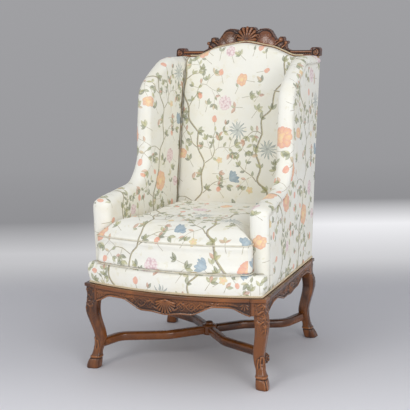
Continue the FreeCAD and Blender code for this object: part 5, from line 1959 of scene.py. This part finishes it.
def carved_leg(front, side, word):
    """Leg with carved knee, ankle tuft and cloven hoof."""
    own = sizes()
    node = ("front_leg_" if front else "back_leg_") + word
    obj = remeshed([node], "carved_" + node, own.wood_voxel)
    relaxed(obj.data, 2, 0.4)
    points = points_of(obj.data)
    if front:
        block = (RAIL_FRONT_HALF - BLOCK_SIDE / 2, RAIL_FRONT_Y + BLOCK_SIDE / 2)
        out = np.array([side, -1.0]) / math.sqrt(2.0)
        foot_out = 0.0115
    else:
        block = (RAIL_BACK_HALF - BLOCK_SIDE / 2, RAIL_BACK_Y - BLOCK_SIDE / 2)
        out = np.array([side, 1.0]) / math.sqrt(2.0)
        foot_out = 0.024
    centre = np.array([block[0] * side, block[1]])
    flat = points[:, :2] - centre
    outward = flat @ out
    across = flat @ np.array([-out[1], out[0]])
    height = points[:, 2]

    # Hoof: the toe runs out along the corner's diagonal and the heel stays narrow
    low = 1.0 - rise(height, 0.018, 0.052)
    toe = outward - foot_out
    stretch = low * np.where(toe > 0, 0.26, 0.02) * toe
    pinch = low * -0.14 * across * rise(toe, -0.01, 0.03)
    waist = -0.1 * np.exp(-((height - 0.06) / 0.014) ** 2)
    stretch += waist * toe
    pinch += waist * across
    flat = flat + out * stretch[:, None] + np.array([-out[1], out[0]]) * pinch[:, None]
    points[:, :2] = centre + flat
    set_points(obj.data, points)
    normals = normals_of(obj.data)
    outward = flat @ out
    across = flat @ np.array([-out[1], out[0]])
    toe = outward - foot_out
    facing = rise(normals[:, :2] @ out, 0.05, 0.45)
    cleft = np.exp(-(across / 0.0022) ** 2) * rise(toe, 0.006, 0.014) * (1.0 - rise(height, 0.03, 0.04))
    ring = np.exp(-((height - 0.041) / 0.0034) ** 2) * 0.0022
    ring -= np.exp(-((height - 0.0345) / 0.0018) ** 2) * 0.0014
    hair = np.abs(np.sin(np.arctan2(across, toe) * 9.0)) * 0.0014
    hair *= np.exp(-((height - 0.064) / 0.017) ** 2)

    knee = [*disc((0.0, 0.288), 0.0046, 0.004),
        *disc((0.0, 0.252), 0.004, 0.0038), *disc((0.0, 0.22), 0.0034, 0.0034),
        stroke([(0.0, 0.212), (0.0, 0.164)], [0.003, 0.0008], [0.0028, 0.001]), ]
    for level, reach, petals in ((0.288, 0.0125, 7), (0.252, 0.0105, 6), (0.22, 0.0085, 6)):
        for k in range(petals):
            way = math.tau * (k + 0.5) / petals
            knee.append(stroke(bent((0.0, level), way, reach, 0.35, 4), [0.0012, 0.0028, 0.0018],
                    [0.0014, 0.0028, 0.0018]))
    half = [*acanthus((0.006, 0.272), -0.35, 0.024, -0.9, 0.0058, 0.0028, 3),
        *acanthus((0.0125, 0.3), -1.1, 0.02, 0.9, 0.0046, 0.0024, 3),
        *acanthus((0.005, 0.238), -0.45, 0.02, -0.9, 0.005, 0.0026, 3),
        *acanthus((0.0045, 0.208), -0.8, 0.018, -0.5, 0.004, 0.0022, 3),
        *acanthus((0.002, 0.194), -1.25, 0.022, 0.2, 0.0034, 0.0018, 2),
        *scroll((0.0235, 0.265), 0.0062, 1.3, 1.2, -1, 0.0016, 0.0026),
        *scroll((0.019, 0.232), 0.0052, 1.3, 1.2, -1, 0.0015, 0.0024),
        stroke(bent((0.029, 0.3), -1.65, 0.06, -0.25), [0.0014, 0.0014], [0.002, 0.0016]),
        stroke(bent((0.0225, 0.238), -1.9, 0.062, 0.28), [0.0014, 0.0009], [0.0018, 0.001]), ]
    raised = relief_of(across, height, knee + both_sides(half))
    zone = rise(height, 0.17, 0.2) * (1.0 - rise(height, 0.2985, 0.3))
    spread = 1.0 - rise(np.abs(across), 0.03, 0.034)
    strength = 1.0 if front else 0.55
    field = facing * zone * spread * strength
    pillows = lozenges(across, height, 0.0085) * 0.0012 * (raised < 0.0003)
    push = field * (raised + pillows - 0.0014) + ring - cleft * 0.0042 * facing
    ankle = relief_of(across, height, both_sides([
        stroke(bent((0.003, 0.108), -1.35, 0.04, -0.3), [0.003, 0.0012], [0.003, 0.0014]),
        stroke(bent((0.01, 0.1), -1.35, 0.034, -0.2), [0.0026, 0.0012], [0.0026, 0.0014]),
    ])) * (1.0 if front else 0.5)
    push += ankle * facing + hair * (0.6 if front else 0.3)
    # Ankle volute on the rear outer side of a front leg
    if front:
        turned = points[:, :2] - centre
        reach = np.linalg.norm(turned + out * 0.014, axis=1)
        beyond = rise(reach, 0.021, 0.026) * np.exp(-((height - 0.095) / 0.018) ** 4)
        round_at = np.hypot(reach - 0.033, height - 0.095)
        push += beyond * 0.0014 * np.sin(round_at * math.tau / 0.0075)
    material = finish_of("walnut_along_z", walnut, tuple(colours().walnut), (1.0, 1.0, 0.1))
    # Painted shade: the foot darkens towards the floor
    carve(obj, push, material, [node], (1.0 - rise(height, 0.0, 0.008)) * 0.5)


def round_stretchers():
    """Stretcher arms with softly rounded sections, and the boss where they cross."""
    own = sizes()
    for node in ("stretcher_front_right", "stretcher_front_left", "stretcher_back_right",
            "stretcher_back_left", "stretcher_boss"):
        obj = remeshed([node], "rounded_" + node, own.wood_voxel * 1.1)
        relaxed(obj.data, 12 if node != "stretcher_boss" else 4, 0.5)
        push = np.zeros(len(obj.data.vertices))
        material = finish_of("walnut_bars", walnut, tuple(colours().walnut), (0.3, 0.3, 1.0))
        # Painted shade: the whole bar is darkened a little
        carve(obj, push, material, [node], np.full(len(push), 0.12))


def carved_crest():
    own = sizes()
    obj = remeshed(["crest_rail"], "carved_crest_rail", own.wood_voxel)
    relaxed(obj.data, 2, 0.4)
    points = points_of(obj.data)
    normals = normals_of(obj.data)
    u, v = points[:, 0], points[:, 2] - WING_TOP
    lower = edge_of(u, v, -1)
    lift = v - lower
    facing = rise(-normals[:, 1], 0.1, 0.6)
    half = [*disc((0.074, 0.066), 0.033, 0.0074),
        *disc((0.098, 0.052), 0.026, 0.0062), *scroll((0.046, 0.076), 0.0085, 1.3, 2.4, -1, 0.0028, 0.0086),
        *acanthus((0.044, 0.056), 0.1, 0.046, -0.6, 0.008, 0.0046, 5),
        *acanthus((0.082, 0.043), -0.3, 0.04, -0.1, 0.0064, 0.0036, 4),
        *acanthus((0.118, 0.033), -0.4, 0.042, 0.1, 0.0052, 0.003, 4), *disc((0.14, 0.064), 0.0092, 0.007),
        *disc((0.162, 0.052), 0.007, 0.0062),
        *acanthus((0.114, 0.056), 0.55, 0.026, -0.5, 0.006, 0.0042, 3),
        stroke(bent((0.12, 0.046), 0.75, 0.026, -0.4), [0.004, 0.003], [0.004, 0.004]),
        stroke(bent((0.146, 0.034), 0.75, 0.022, -0.3), [0.0034, 0.0028], [0.0036, 0.0036]),
        *scroll((0.2825, 0.015), 0.0105, 1.5, 1.2, -1, 0.003, 0.0046),
        *disc((0.2825, 0.015), 0.0032, 0.0056), ]
    strokes = both_sides(half)
    strokes += shell((0.0, 0.06), math.pi / 2, 1.35, 0.05, 9, 0.007, 0.01, 0.3)
    strokes += disc((0.0, 0.06), 0.007, 0.0085)
    raised = relief_of(u, v, strokes)
    width = np.abs(u)
    leafy = 1.0 - rise(width, 0.176, 0.186)
    bead_low = np.sqrt(np.clip(1.0 - ((lift - 0.003) / 0.0028) ** 2, 0.0, 1.0)) * 0.0022
    inner = rise(lift, 0.0056, 0.0076)
    dome = rise(0.033 - np.hypot(width - 0.074, v - 0.066), -0.001, 0.003)
    dome = np.maximum(dome, rise(0.026 - np.hypot(width - 0.098, v - 0.052), -0.001, 0.003))
    fine = lozenges(u, v, 0.006)
    tufts = (fine - 0.5) * 0.001 * np.maximum(dome, raised < 0.0003)
    carved = inner * (raised - 0.0026 + tufts) + bead_low
    reeds = np.sqrt(np.clip(1.0 - ((v - 0.0038) / 0.0034) ** 2, 0.0, 1.0)) * 0.0026
    reeds += np.sqrt(np.clip(1.0 - ((v - 0.0175) / 0.0034) ** 2, 0.0, 1.0)) * 0.0026
    beads = np.abs(np.sin(u * math.pi / 0.008)) ** 0.7
    reeds += np.exp(-((v - 0.0106) / 0.0026) ** 4) * (0.0016 * beads - 0.0012)
    banded = (1.0 - leafy) * (1.0 - rise(width, 0.264, 0.268))
    ends = rise(width, 0.266, 0.27)
    push = (carved * leafy + reeds * banded + (raised - 0.0012) * ends) * facing
    ribs = np.sin(u * math.tau / 0.0085) * 0.001 * rise(np.abs(normals[:, 2]), 0.5, 0.8)
    push += ribs * rise(width, 0.03, 0.04) * (v > 0.028) * leafy
    material = finish_of("walnut_crest", walnut, tuple(colours().crest), (0.1, 1.0, 1.0))
    # Painted shade: the whole crest is darkened a little
    carve(obj, push, material, ["crest_rail"], 0.1)


# Operators

class CHAIR_OT_stage(bpy.types.Operator):
    """Floor, backdrop, lamps and camera"""

    bl_idname = "chair.stage"
    bl_label = "Stage"

    def execute(self, context):
        scene = context.scene
        pan, tilt, roll = 0.407, 0.1732, -0.0162
        eye = Vector((1.4059, -3.3242, 1.1804))
        right = Vector((math.cos(pan), math.sin(pan), 0.0))
        level = Vector((-math.sin(pan), math.cos(pan), 0.0))
        wall_at, cove = 9.0, 0.3
        rows = [(-7.0, 0.0), (wall_at - cove, 0.0)]
        turns = [k * math.pi / 16 for k in range(1, 9)]
        rows += [(wall_at - cove + cove * math.sin(turn), cove - cove * math.cos(turn)) for turn in turns]
        rows.append((wall_at, 9.0))
        verts = []
        for ahead, up in rows:
            for aside in (-10.0, 10.0):
                spot = Vector((eye.x, eye.y, up)) + level * ahead + right * aside
                verts.append(tuple(spot))
        faces = [(2 * k, 2 * k + 1, 2 * k + 3, 2 * k + 2) for k in range(len(rows) - 1)]
        floor_mesh = bpy.data.meshes.new("floor")
        floor_mesh.from_pydata(verts, [], faces)
        floor = link_object("floor", floor_mesh)
        smooth_shaded(floor_mesh)
        floor_mesh.materials.append(studio_paper(eye, right, level))

        world = bpy.data.worlds.new("studio")
        world.use_nodes = True
        scene.world = world
        world.node_tree.nodes["Background"].inputs[0].default_value = (0.97, 0.98, 1.0, 1.0)
        world.node_tree.nodes["Background"].inputs[1].default_value = 0.68
        for name, place, target, power, size, colour in (
            ("key", (-1.2, -4.2, 2.8), (0.0, 0.0, 0.6), 50.0, 1.5, (1.0, 0.985, 0.96)),
            ("fill", (3.2, -2.9, 1.9), (0.0, 0.0, 0.6), 64.0, 2.2, (0.98, 0.985, 1.0)), ):
            lamp = bpy.data.lights.new(name, "AREA")
            lamp.energy = power
            lamp.size = size
            lamp.color = colour
            holder = bpy.data.objects.new(name, lamp)
            scene.collection.objects.link(holder)
            holder.location = place
            way = Vector(target) - Vector(place)
            holder.rotation_euler = way.to_track_quat("-Z", "Y").to_euler()

        camera = bpy.data.cameras.new("camera")
        camera.lens = 87.47
        camera.sensor_width = 36.0
        camera.sensor_fit = "AUTO"
        holder = bpy.data.objects.new("camera", camera)
        scene.collection.objects.link(holder)
        ahead = Vector((-math.sin(pan) * math.cos(tilt), math.cos(pan) * math.cos(tilt), -math.sin(tilt)))
        up = right.cross(ahead)
        leaned = right * math.cos(roll) + up * math.sin(roll)
        upright = -right * math.sin(roll) + up * math.cos(roll)
        turn = Matrix((leaned, upright, -ahead)).transposed().to_4x4()
        holder.matrix_world = Matrix.Translation(eye) @ turn
        scene.camera = holder
        scene.view_settings.view_transform = "Standard"
        return {"FINISHED"}


class CHAIR_OT_frame_finishes(bpy.types.Operator):
    """Finishes of the frame parts that keep their own shape"""

    bl_idname = "chair.frame_finishes"
    bl_label = "Frame finishes"

    def execute(self, context):
        walnut_light = tuple(colours().walnut)
        choices = {"walnut": lambda: finish_of("walnut_bars", walnut, walnut_light, (0.3, 0.3, 1.0)),
            "beech": lambda: finish_of("beech", plain_beech),
            "steel": lambda: finish_of("steel", plain_steel),
            "webbing": lambda: finish_of("webbing", jute_cloth, 0.004, srgb(112, 92, 62)),
            "hessian": lambda: finish_of("hessian", jute_cloth, 0.0022, srgb(128, 106, 74)), }
        slots = {part["node"]: part["material_slot"] for part in frame["record"]["subparts"]}
        choices_of = {"rail_pegs": lambda: finish_of("peg_ends", walnut, walnut_light, (1.0, 1.0, 1.0)),
            "back_rail": lambda: finish_of("walnut_along_x", walnut, walnut_light, (0.1, 1.0, 1.0)), }
        for node, obj in frame["nodes"].items():
            if node in choices_of:
                material = choices_of[node]()
            elif slots[node] in choices and not obj.hide_render:
                material = choices[slots[node]]()
            else:
                continue
            for slot in obj.material_slots:
                slot.material = material
        return {"FINISHED"}


class CHAIR_OT_carved_rails(bpy.types.Operator):
    """Carved front rail and side rails"""

    bl_idname = "chair.carved_rails"
    bl_label = "Carved rails"

    def execute(self, context):
        carved_front_rail()
        carved_side_rail(1.0, "right")
        carved_side_rail(-1.0, "left")
        return {"FINISHED"}


class CHAIR_OT_carved_legs(bpy.types.Operator):
    """Four cabriole legs with carved knees and hoofs"""

    bl_idname = "chair.carved_legs"
    bl_label = "Carved legs"

    def execute(self, context):
        for front in (True, False):
            carved_leg(front, 1.0, "right")
            carved_leg(front, -1.0, "left")
        round_stretchers()
        return {"FINISHED"}


class CHAIR_OT_carved_crest(bpy.types.Operator):
    """Crest rail with its shell, leaves and scrolled ends"""

    bl_idname = "chair.carved_crest"
    bl_label = "Carved crest"

    def execute(self, context):
        carved_crest()
        return {"FINISHED"}


class CHAIR_OT_sides(bpy.types.Operator):
    """Stuffed arms and wings with their outer panels"""

    bl_idname = "chair.sides"
    bl_label = "Sides"

    def execute(self, context):
        for side, word in ((1.0, "right"), (-1.0, "left")):
            side_upholstery(side, word)
            outer_side(side, word)
        return {"FINISHED"}


class CHAIR_OT_back(bpy.types.Operator):
    """Inside back and outer back"""

    bl_idname = "chair.back"
    bl_label = "Back"

    def execute(self, context):
        inside_back()
        outer_back()
        return {"FINISHED"}


class CHAIR_OT_seat(bpy.types.Operator):
    """Border and deck of the seat"""

    bl_idname = "chair.seat"
    bl_label = "Seat"

    def execute(self, context):
        seat_border()
        return {"FINISHED"}


class CHAIR_OT_cushion(bpy.types.Operator):
    """Loose seat cushion, filled by simulation"""

    bl_idname = "chair.cushion"
    bl_label = "Cushion"

    def execute(self, context):
        loose_cushion()
        return {"FINISHED"}


class CHAIR_OT_trims(bpy.types.Operator):
    """Gimp braid, cushion piping and wing welts"""

    bl_idname = "chair.trims"
    bl_label = "Trims"

    def execute(self, context):
        trims()
        cords()
        return {"FINISHED"}


class CHAIR_PT_panel(bpy.types.Panel):
    """Lists the steps that build the chair"""

    bl_idname = "CHAIR_PT_panel"
    bl_label = "Wing armchair"
    bl_space_type = "VIEW_3D"
    bl_region_type = "UI"
    bl_category = "Armchair"

    def draw(self, context):
        for step in STEPS:
            self.layout.operator(step.bl_idname)


STEPS = (CHAIR_OT_stage, CHAIR_OT_carved_rails, CHAIR_OT_carved_legs,
    CHAIR_OT_carved_crest, CHAIR_OT_sides, CHAIR_OT_back, CHAIR_OT_seat,
    CHAIR_OT_cushion, CHAIR_OT_trims, CHAIR_OT_frame_finishes, )
GROUPS = (("chair_sizes", ChairSizes), ("chair_print", PrintSizes), ("chair_colours", ChairColours), )


def register():
    for name, group in GROUPS:
        bpy.utils.register_class(group)
        setattr(bpy.types.Scene, name, bpy.props.PointerProperty(type=group))
    for item in STEPS + (CHAIR_PT_panel,):
        bpy.utils.register_class(item)


def unregister():
    for item in (CHAIR_PT_panel,) + STEPS[::-1]:
        bpy.utils.unregister_class(item)
    for name, group in GROUPS[::-1]:
        delattr(bpy.types.Scene, name)
        bpy.utils.unregister_class(group)


def main():
    register()
    for step in STEPS:
        category, name = step.bl_idname.split(".")
        getattr(getattr(bpy.ops, category), name)()


if __name__ == "__main__":
    main()
